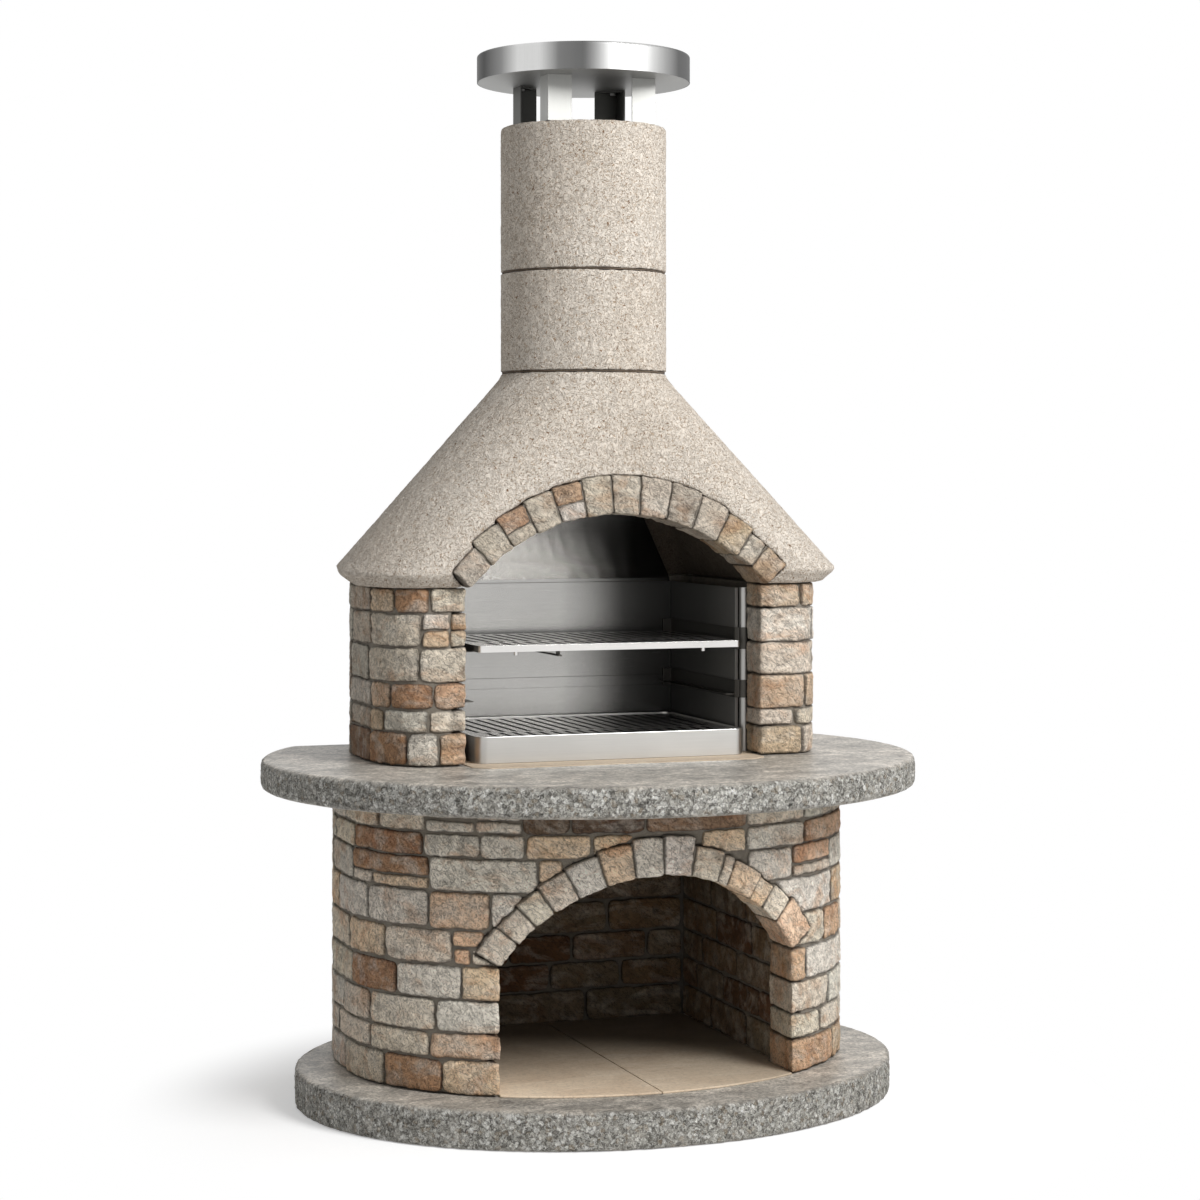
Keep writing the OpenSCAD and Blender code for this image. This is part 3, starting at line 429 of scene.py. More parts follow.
def stone_paint():
    """Split limestone: each stone's own tint, stained in bands, with chisel strokes and pits. Painted shade
    darkens the strokes' hollows, the thin creases, the split faces' hollows and the stones' narrow sides,
    and painted highlight lightens the strokes' ridges.
    """
    p = Paint("split_stone", 0.92)
    tint = p.attribute("tint", "Color")
    relief = p.attribute("relief", "Fac")
    bands = p.slanted(2.2, 8)
    stain = p.ramp(p.noise(17, 5, 0.62, 0.9, bands), [(0.5, 0.0), (0.64, 1.0)])
    body = p.mix(p.maths("MULTIPLY", stain, 0.5), tint, p.times(tint, srgb("#d3a67c")))
    pale = p.ramp(p.noise(24, 6, 0.65, 0.5, bands), [(0.48, 0.0), (0.66, 1.0)])
    body = p.mix(p.maths("MULTIPLY", pale, 0.5), body, srgb("#e4dccf"))
    # Painted shade and highlight: darker in the chisel strokes' hollows, lighter on their ridges
    strokes = p.noise(150, 4, 0.62, 1.1, p.slanted(2.8, 42))
    lines = p.ramp(strokes, [(0.34, 0.8), (0.42, 0.93), (0.5, 1.0), (0.6, 1.08)])
    body = p.times(body, lines)
    # Painted shade: dark along the thin creases that the bumps below cut in
    deep = p.crossing(p.noise(92, 3, 0.55, 1.3, p.slanted(1.9, 38)))
    fine = p.crossing(p.noise(150, 2, 0.5, 1.6, p.slanted(1.6, 30)))
    crease_shade = p.ramp(deep, [(0.0, 0.45), (0.01, 0.68), (0.026, 1.0), (0.05, 1.08)])
    body = p.times(body, crease_shade)
    body = p.times(body, p.ramp(fine, [(0.0, 0.72), (0.02, 1.0)]))
    grains = p.ramp(p.noise(520, 3, 0.75), [(0.3, 0.84), (0.66, 1.08)])
    body = p.times(body, grains)
    # Painted shade in the hollows of the split face, from relief
    shade = p.ramp(relief, [(0.0, 0.66), (0.4, 0.93), (0.6, 1.0), (1.0, 1.06)])
    body = p.times(body, shade)
    # Painted shade in the joints: the stones' narrow sides darkened
    joint_shade = p.ramp(p.attribute("side", "Fac"), [(0.0, 1.0), (1.0, 0.3)])
    body = p.times(body, joint_shade)
    p.colour(body)
    first = p.bump(p.noise(60, 6, 0.7, 0.9), 0.009, 0.7)
    second = p.bump(strokes, 0.005, 0.9, first)
    third = p.bump(p.maths("MINIMUM", deep, 0.06), 0.024, 0.9, second)
    p.normal(p.bump(p.maths("MINIMUM", fine, 0.05), 0.016, 0.8, third))
    return p.material


def mortar_paint(name, dark, light):
    """Sandy mortar between the stones, and pale cast concrete on the back."""
    p = Paint(name, 0.95)
    base = p.ramp(p.noise(28, 5, 0.6), [(0.3, srgb(dark)), (0.7, srgb(light))])
    parts = p.axes()
    behind = p.maths("GREATER_THAN", parts["Y"], high("rear_wall").y - 4 * MM)
    cast = p.ramp(p.noise(11, 6, 0.65), [(0.3, srgb("#a39c91")), (0.7, srgb("#c2bbb0"))])
    base = p.mix(behind, base, cast)
    sand = p.ramp(p.noise(600, 2, 0.7), [(0.3, 0.72), (0.65, 1.08)])
    p.colour(p.times(base, sand))
    p.normal(p.bump(p.noise(260, 5, 0.75), 0.0025, 0.8))
    return p.material


def render_paint():
    """Coarse render, worm-like on its face, with painted shade in its hollows and grooves, dull and dark on
    the faces turned to the flue.
    """
    p = Paint("coarse_render", 0.93)
    worms = p.noise(78, 3, 0.6, 2.6)
    fine = p.noise(330, 4, 0.7)
    base = p.ramp(p.noise(5, 4, 0.5), [(0.3, srgb("#dcd1c3")), (0.7, srgb("#e6ddd1"))])
    # Painted shade in the hollows of the worm-like relief
    hollow_shade = p.ramp(worms, [(0.3, 0.74), (0.43, 0.93), (0.54, 1.0), (0.68, 1.06)])
    base = p.times(base, hollow_shade)
    track = p.crossing(p.noise(88, 2, 0.5, 1.8))
    # Painted shade along the winding grooves
    groove_shade = p.ramp(track, [(0.0, srgb("#b39d86")), (0.012, srgb("#d6c8b8")), (0.03, 1.0)])
    base = p.times(base, groove_shade)
    base = p.times(base, p.ramp(fine, [(0.3, 0.84), (0.65, 1.06)]))
    pits = p.ramp(p.noise(150, 2, 0.6, 0.7), [(0.3, srgb("#a58a6e")), (0.35, 1.0)])
    base = p.times(base, pits)
    flue_facing = p.attribute("flue_facing", "Fac")
    p.colour(p.mix(flue_facing, base, p.times(base, srgb("#6b645b"))))
    first = p.bump(worms, 0.007, 0.8)
    second = p.bump(p.maths("MINIMUM", track, 0.06), 0.018, 0.9, first)
    p.normal(p.bump(fine, 0.0012, 0.6, second))
    return p.material


# Chips of stone in the cast slabs, across a metre
CHIPS_PER_METRE = 115


def concrete_paint():
    """Terrazzo-like concrete: a smooth clouded top and bare chips round the edge."""
    p = Paint("aggregate_concrete", 0.6)
    edge = p.attribute("edge", "Fac")
    warp = p.add("ShaderNodeVectorMath", operation="MULTIPLY_ADD")
    bend = p.add("ShaderNodeTexNoise")
    bend.inputs["Scale"].default_value = 160
    bend.inputs["Detail"].default_value = 3
    p.join(p.position, bend.inputs["Vector"])
    p.join(bend.outputs["Color"], warp.inputs[0])
    warp.inputs[1].default_value = (0.009, 0.009, 0.009)
    p.join(p.position, warp.inputs[2])
    place = warp.outputs["Vector"]
    chip = p.cells(CHIPS_PER_METRE, "F1", "Color", place)
    chip_tone = p.ramp(chip, [
        (0.0, srgb("#4d4b46")), (0.16, srgb("#7d7a73")), (0.34, srgb("#b5b2aa")),
        (0.5, srgb("#9a8c78")), (0.58, srgb("#d6d4cd")), (0.74, srgb("#fbfaf6")),
    ])
    chip_tone.node.color_ramp.interpolation = "CONSTANT"
    seams = p.cells(CHIPS_PER_METRE, "DISTANCE_TO_EDGE", "Distance", place)
    gaps = p.ramp(seams, [(0.0, 0.12), (0.16, 1.0)])
    coarse = p.mix(0.85, chip_tone, gaps, "MULTIPLY")
    grit = p.noise(150, 5, 0.7, 1.2)
    mixed = p.ramp(grit, [(0.38, srgb("#2a2825")), (0.5, srgb("#a19e96")), (0.6, srgb("#fdfcf8"))])
    coarse = p.times(p.mix(0.5, coarse, mixed), (1.25, 1.24, 1.22, 1))
    cloud = p.noise(9, 8, 0.68, 0.8)
    streaks = p.noise(5, 8, 0.7, 1.6, p.stretched((1, 2.4, 1), (0, 0, 0.5)))
    top = p.ramp(cloud, [(0.34, srgb("#827e78")), (0.5, srgb("#aca79f")), (0.66, srgb("#d3ccc2"))])
    veins = p.ramp(streaks, [(0.38, srgb("#7d7973")), (0.5, srgb("#b0aaa0")), (0.62, srgb("#dcd2c5"))])
    top = p.mix(0.45, top, veins)
    patches = p.ramp(p.noise(34, 5, 0.65, 1.0), [(0.36, 0.7), (0.5, 1.0), (0.64, 1.22)])
    top = p.times(top, patches)
    flecks = p.ramp(p.noise(150, 4, 0.75), [(0.38, 0.5), (0.5, 1.0), (0.62, 1.3)])
    top = p.times(top, flecks)
    p.colour(p.mix(edge, top, coarse))
    p.rough(p.ramp(edge, [(0.0, 0.42), (1.0, 0.8)]))
    p.shader.inputs["Specular IOR Level"].default_value = 0.4
    height = p.maths("MULTIPLY", grit, edge)
    first = p.bump(height, 0.015, 1.0)
    p.normal(p.bump(p.noise(210, 4, 0.7), 0.0008, 0.35, first))
    return p.material


def fireclay_paint(name, shading=None):
    """Pale fireclay with faint streaks. shading(p) gives a grey factor for its colour."""
    p = Paint(name, 0.7)
    base = p.ramp(p.noise(7, 6, 0.66, 0.8), [(0.3, srgb("#b8a48d")), (0.7, srgb("#cbbba5"))])
    streaks = p.ramp(p.noise(9, 5, 0.6, 0.6, p.stretched((0.6, 3.5, 1), (0, 0, 0.12))),
                     [(0.55, 0.0), (0.7, 1.0)])
    base = p.mix(p.maths("MULTIPLY", streaks, 0.2), base, srgb("#e4dacb"))
    flecks = p.ramp(p.noise(120, 5, 0.7, 0.8), [(0.34, 0.8), (0.5, 0.98), (0.66, 1.06)])
    base = p.times(base, flecks)
    if shading:
        base = p.times(base, shading(p))
    p.colour(base)
    p.normal(p.bump(p.noise(140, 5, 0.7), 0.0012, 0.5))
    return p.material


def steel_paint(name, along, colour, roughness, metallic=1.0, shading=None):
    """Brushed steel, its fine lines along one axis. shading(p) gives a grey factor for its colour."""
    p = Paint(name, roughness, metallic)
    scale = [900, 900, 900]
    scale[along] = 9
    lines = p.noise(1.0, 5, 0.7, 0.0, p.stretched(tuple(scale)))
    body = p.times(colour, p.ramp(lines, [(0.25, 0.92), (0.75, 1.03)]))
    cloud = p.ramp(p.noise(4, 3, 0.5), [(0.3, 0.9), (0.7, 1.04)])
    body = p.times(body, cloud)
    if shading:
        body = p.times(body, shading(p))
    p.colour(body)
    p.rough(p.ramp(lines, [(0.2, roughness - 0.04), (0.8, roughness + 0.05)]))
    p.normal(p.bump(lines, 0.00004, 0.2))
    return p.material


def hearth_light_and_shade(p):
    """Painted light at the front left of the wood store's floor, and painted shade towards its back right.
    """
    parts = p.axes()
    across = p.maths("MULTIPLY", parts["X"], 0.6)
    share = p.line(p.maths("ADD", parts["Y"], across), 1.1, 0.5)
    return p.ramp(share, [(0.06, 1.6), (0.3, 1.15), (0.5, 0.8), (0.8, 0.33)])


def lining_light_and_shade(p):
    """Painted light and reflection at the lining's left, painted shade at its right, reaching further
    across in the hood, and painted shade that deepens with height above the hood's foot.
    """
    parts = p.axes()
    wave = p.line(p.noise(3, 3, 0.5), 0.05, -0.025)
    side = p.maths("ADD", parts["X"], wave)
    level = p.maths("ADD", parts["Z"], -HOOD_FOOT - 20 * MM)
    place = p.maths("ADD", side, p.maths("MAXIMUM", level, 0.0))
    share = p.line(place, 1 / 0.6, 0.5)
    across = p.ramp(share, [(0.0, 1.06), (0.56, 1.0), (0.68, 0.62), (0.8, 0.25), (1.0, 0.18)])
    height = p.line(parts["Z"], 10, -10 * HOOD_FOOT)
    return p.times(across, p.ramp(height, [(0.0, 0.92), (0.35, 0.55), (1.0, 0.22)]))


def slot_shade(p):
    """Painted shade on the walls of a grate's slots; plain on its plate and turned-down edge."""
    facing = p.axes(p.add("ShaderNodeNewGeometry").outputs["Normal"])
    place = p.axes()
    wall = p.maths("LESS_THAN", p.maths("ABSOLUTE", facing["Z"]), 0.5)
    rim = 14 * MM
    inner = p.maths("LESS_THAN", p.maths("ABSOLUTE", place["X"]), high("cooking_grate").x - rim)
    behind = p.maths("GREATER_THAN", place["Y"], low("cooking_grate").y + rim)
    slot = p.maths("MULTIPLY", p.maths("MULTIPLY", wall, inner), behind)
    return p.ramp(slot, [(0.0, 1.0), (1.0, 0.04)])


def tray_floor_tone(p):
    """Dark on the upward faces inside the tray, plain outside."""
    parts = p.axes(p.add("ShaderNodeNewGeometry").outputs["Normal"])
    upward = p.maths("GREATER_THAN", parts["Z"], 0.5)
    place = p.axes()
    inside = p.maths("LESS_THAN", place["Z"], high("ember_tray").z - 6 * MM)
    return p.ramp(p.maths("MULTIPLY", upward, inside), [(0.0, 1.0), (1.0, 0.16)])


def side_panel_shade(p):
    """Painted shade on the side panels: darkest at the back, lighter at the front."""
    parts = p.axes()
    share = p.line(parts["Y"], 2.6, -0.1)
    return p.ramp(share, [(0.0, 0.55), (0.5, 0.26), (1.0, 0.16)])


def cap_reflection_bands(p):
    """Painted reflections: soft light and dark bands round the cap."""
    parts = p.axes()
    turn = p.maths("ARCTAN2", parts["X"], p.maths("SUBTRACT", CHIMNEY_AXIS[1], parts["Y"]))
    share = p.line(turn, 0.5 / math.pi, 0.5)
    bands = [
        (-180, 0.5), (-130, 0.6), (-104, 0.09), (-86, 0.07), (-68, 0.38), (-56, 0.95), (-43, 0.9),
        (-32, 0.26), (-19, 0.15), (-3, 0.58), (12, 0.66), (26, 0.46), (42, 0.12), (80, 0.09),
        (120, 0.6),
    ]
    return p.ramp(share, [((angle + 180) / 360, value) for angle, value in bands])


STONE = stone_paint()
MORTAR = mortar_paint("mortar", "#736c61", "#8d8579")
RENDER = render_paint()
CONCRETE = concrete_paint()
FIRECLAY = fireclay_paint("fireclay")
HEARTH = fireclay_paint("hearth_clay", hearth_light_and_shade)
STEEL_SHEET = steel_paint("brushed_sheet", 0, srgb("#bcbbb8"), 0.24, 1.0, lining_light_and_shade)
STEEL_SIDE = steel_paint("brushed_side", 1, srgb("#b9b7b3"), 0.45, 0.9, side_panel_shade)
STEEL_PAN = steel_paint("brushed_pan", 0, srgb("#d2d1ce"), 0.36, 1.0, tray_floor_tone)
STEEL_GRATE = steel_paint("slotted_plate", 1, srgb("#e9e7e4"), 0.24, 1.0, slot_shade)
STEEL_DARK = steel_paint("dark_formed", 1, srgb("#55534f"), 0.45)
STEEL_POST = steel_paint("round_post", 2, srgb("#b5b4b1"), 0.38)
STEEL_CAP = steel_paint("brushed_cap", 2, srgb("#e6e6e5"), 0.48, 1.0, cap_reflection_bands)
# Painted shade: the cap's underside gets a darker steel than its top
STEEL_SHADED_UNDER = steel_paint("cap_under", 0, srgb("#a3a3a1"), 0.5)
STEEL_LEG = steel_paint("brushed_leg", 2, srgb("#a8a8a5"), 0.5)
# Painted shade: the rear legs get the front legs' steel made darker
STEEL_LEG_SHADED = steel_paint("shaded_leg", 2, srgb("#5f5f5c"), 0.55)
SEAM = mortar_paint("seam_mortar", "#4a3f35", "#6b5c4d")


# Stones

# S is painted shade: a dark brown for the stones just under the table slab, in its shadow
TONES = {
    "W": "#dad2c5", "C": "#d3c7b5", "B": "#c2b5a3", "G": "#bfb7aa",
    "T": "#cbb498", "O": "#c7a688", "P": "#c6ab91", "R": "#a58061", "D": "#886d57", "S": "#5c4938",
}
COMMON = "CWBCTGBCPW"

# For each node: the height of each row of stones above the foot of its wall, in millimetres, and the
# tones of its stones in order from the middle of the front to the back
ROWS = {
    "lower_corners_left": [(33, "T"), (92, "P"), (147, "W"), (211, "T")],
    "lower_corners_right": [(33, "O"), (92, "C"), (147, "C"), (211, "O")],
    "lower_stones_left": [
        (33, "RBGB"), (92, "BBGB"), (147, "CBGB"), (211, "WRBGB"), (261, "CO"), (294, "O"), (277, "CTBG"),
        (347, "WPGGT"), (395, "TC"), (427, "TR"), (414, "WGBG"), (469, "GGRBGB"), (504, "GG"), (530, "GG"),
        (517, "BBGB"),
    ],
    "lower_stones_right": [
        (33, "TCBC"), (92, "CBCB"), (147, "WCBC"), (211, "WCBC"), (277, "COCBC"), (347, "WTCBC"),
        (395, "C"), (427, "O"), (414, "WWBCB"), (469, "WOBCB"), (517, "CGBCB"),
    ],
    # The top row's S stones are painted shade under the table slab
    "lower_stones_centre": [(469, "TTT"), (517, "SSDR")],
    "pier_corners_left": [(33, "O"), (88, "C"), (136, "O"), (196, "C"), (246, "C"), (279, "T"), (321, "C")],
    "pier_corners_right": [(29, "T"), (76, "C"), (127, "P"), (194, "C"), (262, "W"), (321, "T")],
    "pier_stones_left": [
        (33, "WRDBG"), (88, "WTBGB"), (136, "RPGBG"), (196, "CGBGB"), (246, "T"), (279, "W"),
        (263, "CBGBB"), (321, "RTBGB"),
    ],
    "pier_stones_right": [
        (29, "CBCB"), (76, "CBCB"), (127, "TBCB"), (194, "CBCB"), (262, "WBCB"), (321, "TBCB"),
    ],
}
STORE_TONES = "BTCPRB"
LOWER_ARCH_TONES = "CCCCWTWWCCTTCP"
UPPER_ARCH_TONES = "CCOCCOWCCCBCTCT"

# How much lighter dry stone is than the tones above
STONE_LIGHT = 1.36
# How far from the middle the corner stones turn into the two openings
MOUTH_TURNS_IN = 0.325
FIRE_TURNS_IN = 0.337
# How far behind the middle the point lies that a wall's stones are ordered round
WRAP_CENTRE = 0.6
# Distance between stones while they are remeshed one by one
APART = 0.5
# Sizes of the drift, swells, crests and grain on split stone
DRIFT_SIZE = 0.045
SWELL_SIZE = 0.07
CREST_SIZE = 0.030
GRAIN_SIZE = 0.011
# Heights of the two arches' centres
MOUTH_CENTRE = PLINTH_TOP + 63.7 * MM
FIRE_CENTRE = HOOD_FOOT - 267.4 * MM

rng = np.random.default_rng(7)


def tone(letter):
    """A stone's own colour: its named tone with a slight change of its own."""
    base = np.array(srgb(TONES[letter])[:3])
    return base * STONE_LIGHT * (1 + rng.uniform(-0.07, 0.07)) * (1 + rng.uniform(-0.015, 0.015, 3))


def lifted(tones, lift):
    """Tones made lighter by lift, but none lighter than dry stone can be."""
    tones = tones * lift
    return tones * np.minimum(0.95 / np.maximum(tones.max(axis=1), 0.01), 1)[:, None]


def row_tones(node, middles, foot, lift):
    """A tone for each stone of a faced wall, from ROWS, made lighter by lift."""
    rows = ROWS[node]
    heights = np.array([r[0] for r in rows]) * MM + foot
    wrap = np.arctan2(np.abs(middles[:, 0]), WRAP_CENTRE - middles[:, 1])
    if node == "lower_stones_centre":
        wrap = middles[:, 0]
    row = np.abs(middles[:, 2:3] - heights[None, :]).argmin(axis=1)
    tones = np.zeros((len(middles), 3))
    for r in range(len(rows)):
        members = np.flatnonzero(row == r)
        for k, i in enumerate(members[np.argsort(wrap[members])]):
            letters = rows[r][1]
            letter = letters[k] if k < len(letters) else COMMON[rng.integers(len(COMMON))]
            tones[i] = tone(letter) * (1 / lift if letter in "RDS" else 1)
    return lifted(tones, lift)


def arch_tones(middles, letters, lift):
    """A tone for each arch stone, from left to right, made lighter by lift."""
    tones = np.zeros((len(middles), 3))
    for letter, i in zip(letters, np.argsort(middles[:, 0])):
        tones[i] = tone(letter)
    return lifted(tones, lift)


def split_faces(points, normals, label, seed, wave, crag, grow):
    """Moves the points of stones so that their faces look split and their outlines uneven."""
    shifts = rng.uniform(-20, 20, (label.max() + 1, 3))
    own = points + shifts[label]
    drift = np.stack([value_noise(own, DRIFT_SIZE, seed + a) for a in range(3)], axis=1)
    swell = layered(own, SWELL_SIZE, seed + 5)
    crests = ridged(own * (1, 1, 1.5), CREST_SIZE, seed + 9, 3)
    grain = layered(own, GRAIN_SIZE, seed + 13)
    out = grow + wave * 0.8 * swell + crag * (crests - 0.66) * 2.4 + 0.45 * crag * grain
    moved = points + normals * out[:, None] + drift * wave * 0.6
    # relief is low in the split face's hollows and high on its crests; the stone paint darkens the hollows
    # with it as painted shade
    relief = np.clip(0.62 + 1.3 * (crests - 0.68) + 0.28 * grain, 0, 1)
    return moved, relief


def rounded_outlines(points, label, past):
    """Rounds the corners of each thin stone's outline. Also gives each stone's line along the wall.

    past is set for corner stones: how far from the middle they turn in. They are rounded beyond it.
    """
    points = points.copy()
    lines = np.zeros((label.max() + 1, 3))
    for i in range(len(lines)):
        own = np.flatnonzero(label == i)
        stone = points[own]
        flat = stone[np.abs(stone[:, 0]) > past][:, :2]
        if len(flat) < 20:
            continue
        spread = flat - flat.mean(axis=0)
        line = np.linalg.eigh(spread.T @ spread)[1][:, 1]
        line *= np.sign(line[0] * flat[:, 0].mean()) if past else 1
        lines[i, :2] = line
        place = np.stack([stone[:, :2] @ line, stone[:, 2]], axis=1)
        middle = (place.min(axis=0) + place.max(axis=0)) / 2
        half = (place.max(axis=0) - place.min(axis=0)) / 2
        radii = np.minimum(rng.uniform(6, 15, (2, 2)) * MM, 0.45 * half.min())
        side = (place > middle).astype(int)
        radius = radii[side[:, 0], side[:, 1]]
        over = np.maximum(np.abs(place - middle) - (half - radius[:, None]), 0)
        square = over.max(axis=1)
        pull = np.where(over.min(axis=1) > 0, square / np.maximum(np.hypot(*over.T), 1e-9) - 1, 0.0)
        if past:
            pull *= side[:, 0]
        shift = over * pull[:, None] * np.sign(place - middle)
        points[own, :2] += shift[:, :1] * line
        points[own, 2] += shift[:, 1]
    return points, lines


def side_share(points, normals, along, past, centre):
    """1 on the narrow sides of stones, which the stone paint darkens as painted shade in the joints, and 0
    on their faces.
    """
    if centre is None:
        ends = np.abs(np.sum(normals * along, axis=1)) * (np.abs(points[:, 0]) > past + 12 * MM)
        beds = np.abs(normals[:, 2])
    else:
        out = points - (0, 0, centre)
        out[:, 1] = 0
        out /= np.linalg.norm(out, axis=1)[:, None]
        ends = np.abs(normals[:, 0] * out[:, 2] - normals[:, 2] * out[:, 0])
        beds = np.sum(normals * out, axis=1) - 0.2
    return np.clip((np.maximum(ends, beds) - 0.5) / 0.4, 0, 1)


def lay_stones(name, node, voxel, colours, seed, wave=1.8 * MM, crag=2.0 * MM, grow=1.4 * MM,
               past=0.0, centre=None):
    """Stones of one CAD node, rounded and split-faced.

    colours gives a tone for each stone's middle. past is as in rounded_outlines, and centre is the
    height of an arch's centre.
    """
    obj = joined_copy(name, [node])
    points = points_of(obj.data)
    label = islands(len(points), edges_of(obj.data))
    count = label.max() + 1
    lows = np.full((count, 3), 9.0)
    highs = np.full((count, 3), -9.0)
    np.minimum.at(lows, label, points)
    np.maximum.at(highs, label, points)
    middles = (lows + highs) / 2
    away = -middles
    away[:, 0] += np.arange(count) * APART
    set_points(obj.data, points + away[label])
    even(obj, voxel)
    mesh = obj.data
    points = points_of(mesh)
    pairs = edges_of(mesh)
    label = np.clip(np.rint(points[:, 0] / APART).astype(int), 0, count - 1)
    points = points - away[label]
    lines = np.zeros((count, 3))
    if centre is None:
        points, lines = rounded_outlines(points, label, past)
    points = smoothed(points, pairs, 2)
    set_points(mesh, points)
    normals = normals_of(mesh)
    tones = colours(middles)
    moved, relief = split_faces(points, normals, label, seed, wave, crag, grow)
    set_points(mesh, inside_box(moved))
    put_colour(mesh, "tint", tones[label])
    put_value(mesh, "relief", relief)
    put_value(mesh, "side", side_share(points, normals, lines[label], past, centre))
    return finish_piece(obj, STONE, [node])


def faced_wall(node, foot, lift, seed, voxel=0.004):
    """The stones of one wall or pier that stands on foot, in the tones of their rows."""
    turns_in = {"lower_corners": MOUTH_TURNS_IN, "pier_corners": FIRE_TURNS_IN}
    past = turns_in.get(node.rsplit("_", 1)[0], 0.0)

    def colours(middles):
        return row_tones(node, middles, foot, lift)

    return lay_stones("split_" + node, node, voxel, colours, seed, past=past)


def shaded_store_tones(middles):
    """Dark tones for the stones inside the wood store, as painted shade: darkened well below the stones
    outside.
    """
    tones = [tone(STORE_TONES[rng.integers(len(STORE_TONES))]) for _ in middles]
    # Painted shade inside the store
    return np.array(tones) * (0.38, 0.33, 0.27)


# lift is painted light: the lower walls' stones are made lighter against the table slab's shade on them,
# and those on the right, which the key lamp lights, are left a touch darker
for k, node in enumerate(["lower_stones_left", "lower_stones_right", "lower_stones_centre",
                          "lower_corners_left", "lower_corners_right"]):
    lift = 0.98 if node.endswith("right") else 1.2
    faced_wall(node, PLINTH_TOP, lift, 100 + 10 * k)
for k, node in enumerate(["pier_stones_left", "pier_stones_right",
                          "pier_corners_left", "pier_corners_right"]):
    faced_wall(node, SLAB_TOP, 0.95, 200 + 10 * k, voxel=0.0035)
for k, node in enumerate(["store_lining_left", "store_lining_right", "store_lining_back"]):
    lay_stones("split_" + node, node, 0.005, shaded_store_tones, 300 + 10 * k)
# The lower arch's stones are painted lighter (1.3), as painted light against the shade on them
lay_stones("cut_lower_arch", "lower_arch", 0.0035, lambda m: arch_tones(m, LOWER_ARCH_TONES, 1.3), 401,
           wave=1.4 * MM, crag=1.8 * MM, grow=0.8 * MM, centre=MOUTH_CENTRE)
lay_stones("cut_hood_arch", "hood_arch", 0.0035, lambda m: arch_tones(m, UPPER_ARCH_TONES, 0.7), 411,
           wave=1.4 * MM, crag=1.8 * MM, grow=0.8 * MM, centre=FIRE_CENTRE)


# Mortar

# How far the mortar rises between the stones
MORTAR_RISE = 5.8 * MM


def bedded(name, node, seed, lined):
    """A wall's core with its mortar filled up between the stones, also inside where it is lined."""
    obj = remeshed(name, [node], 0.006)
    points = points_of(obj.data)
    normals = normals_of(obj.data)
    sides = np.clip((0.7 - np.abs(normals[:, 2])) / 0.3, 0, 1)
    if not lined:
        outward = np.sum((points - CHIMNEY_AXIS)[:, :2] * normals[:, :2], axis=1)
        sides *= np.clip(outward * 20, 0, 1)
    out = sides * (MORTAR_RISE + 0.8 * MM * layered(points, 0.03, seed))
    set_points(obj.data, inside_box(points + normals * out[:, None]))
    return finish_piece(obj, MORTAR, [node])


for k, node in enumerate(["lower_wall_left", "lower_wall_right", "lower_lintel"]):
    bedded("bedded_" + node, node, 450 + k, lined=True)
for k, node in enumerate(["pier_left", "pier_right"]):
    bedded("bedded_" + node, node, 455 + k, lined=False)


# Cast slabs

# Distance between the chips that stand out of a slab's edge
CHIP_SIZE = 0.011


def cast_slab(name, node, voxel, seed, rounds):
    """A cast slab: rubbed smooth on top, with exposed chips round its edge."""
    obj = remeshed(name, [node], voxel)
    mesh = obj.data
    points = points_of(mesh)
    pairs = edges_of(mesh)
    points = smoothed(points, pairs, rounds)
    set_points(mesh, points)
    normals = normals_of(mesh)
    edge = np.clip((0.86 - np.abs(normals[:, 2])) / 0.3, 0, 1)
    spread = smoothed(edge[:, None], pairs, 3)[:, 0]
    near, number = chips(points, CHIP_SIZE, seed)
    bumps = (0.55 - near) * 2.6 * MM + (number - 0.5) * 1.2 * MM
    pits = -np.clip(ridged(points, 0.03, seed + 5) - 0.86, 0, 1) * 10 * MM
    rough = bumps + pits - 0.9 * MM
    top = layered(points, 0.09, seed + 9) * 0.25 * MM - 0.3 * MM
    moved = points + normals * (spread * rough + (1 - spread) * top)[:, None]
    moved[:, 2] = np.maximum(moved[:, 2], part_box(node)[0].z)
    set_points(mesh, inside_box(moved))
    uneven = 0.35 * value_noise(points, 0.02, seed + 3) * (spread > 0.02)
    put_value(mesh, "edge", np.clip(spread + uneven, 0, 1))
    return finish_piece(obj, CONCRETE, [node])


cast_slab("cast_plinth", "plinth", 0.005, 501, 3)
cast_slab("cast_table_slab", "table_slab", 0.005, 511, 4)


# Rendered hood and chimney

# How far the render's skin is drawn in, to leave room for its crests
SKIN_ROOM = 0.6 * MM


def rendered(name, node, voxel, rounds, seed):
    """A rendered piece with its coarse skin, dark on the faces turned to the flue."""
    obj = remeshed(name, [node], voxel)
    mesh = obj.data
    points = points_of(mesh)
    pairs = edges_of(mesh)
    points = smoothed(points, pairs, rounds)
    set_points(mesh, points)
    normals = normals_of(mesh)
    crests = ridged(points, 0.014, seed)
    hand = layered(points, 0.12, seed + 7)
    out = (crests - 0.75) * 2.2 * MM + hand * 0.5 * MM - SKIN_ROOM
    inward = CHIMNEY_AXIS - points
    inward[:, 2] = 0
    facing = np.sum(inward * normals, axis=1) / np.maximum(np.linalg.norm(inward, axis=1), 0.01)
    set_points(mesh, points + normals * out[:, None])
    put_value(mesh, "flue_facing", np.clip(facing * 4, 0, 1))
    return finish_piece(obj, RENDER, [node])


rendered("rendered_hood", "hood", 0.005, 3, 601)
rendered("rendered_chimney_lower", "chimney_lower", 0.0045, 1, 611)
rendered("rendered_chimney_upper", "chimney_upper", 0.0045, 1, 621)


# Steel and fireclay pieces with eased edges

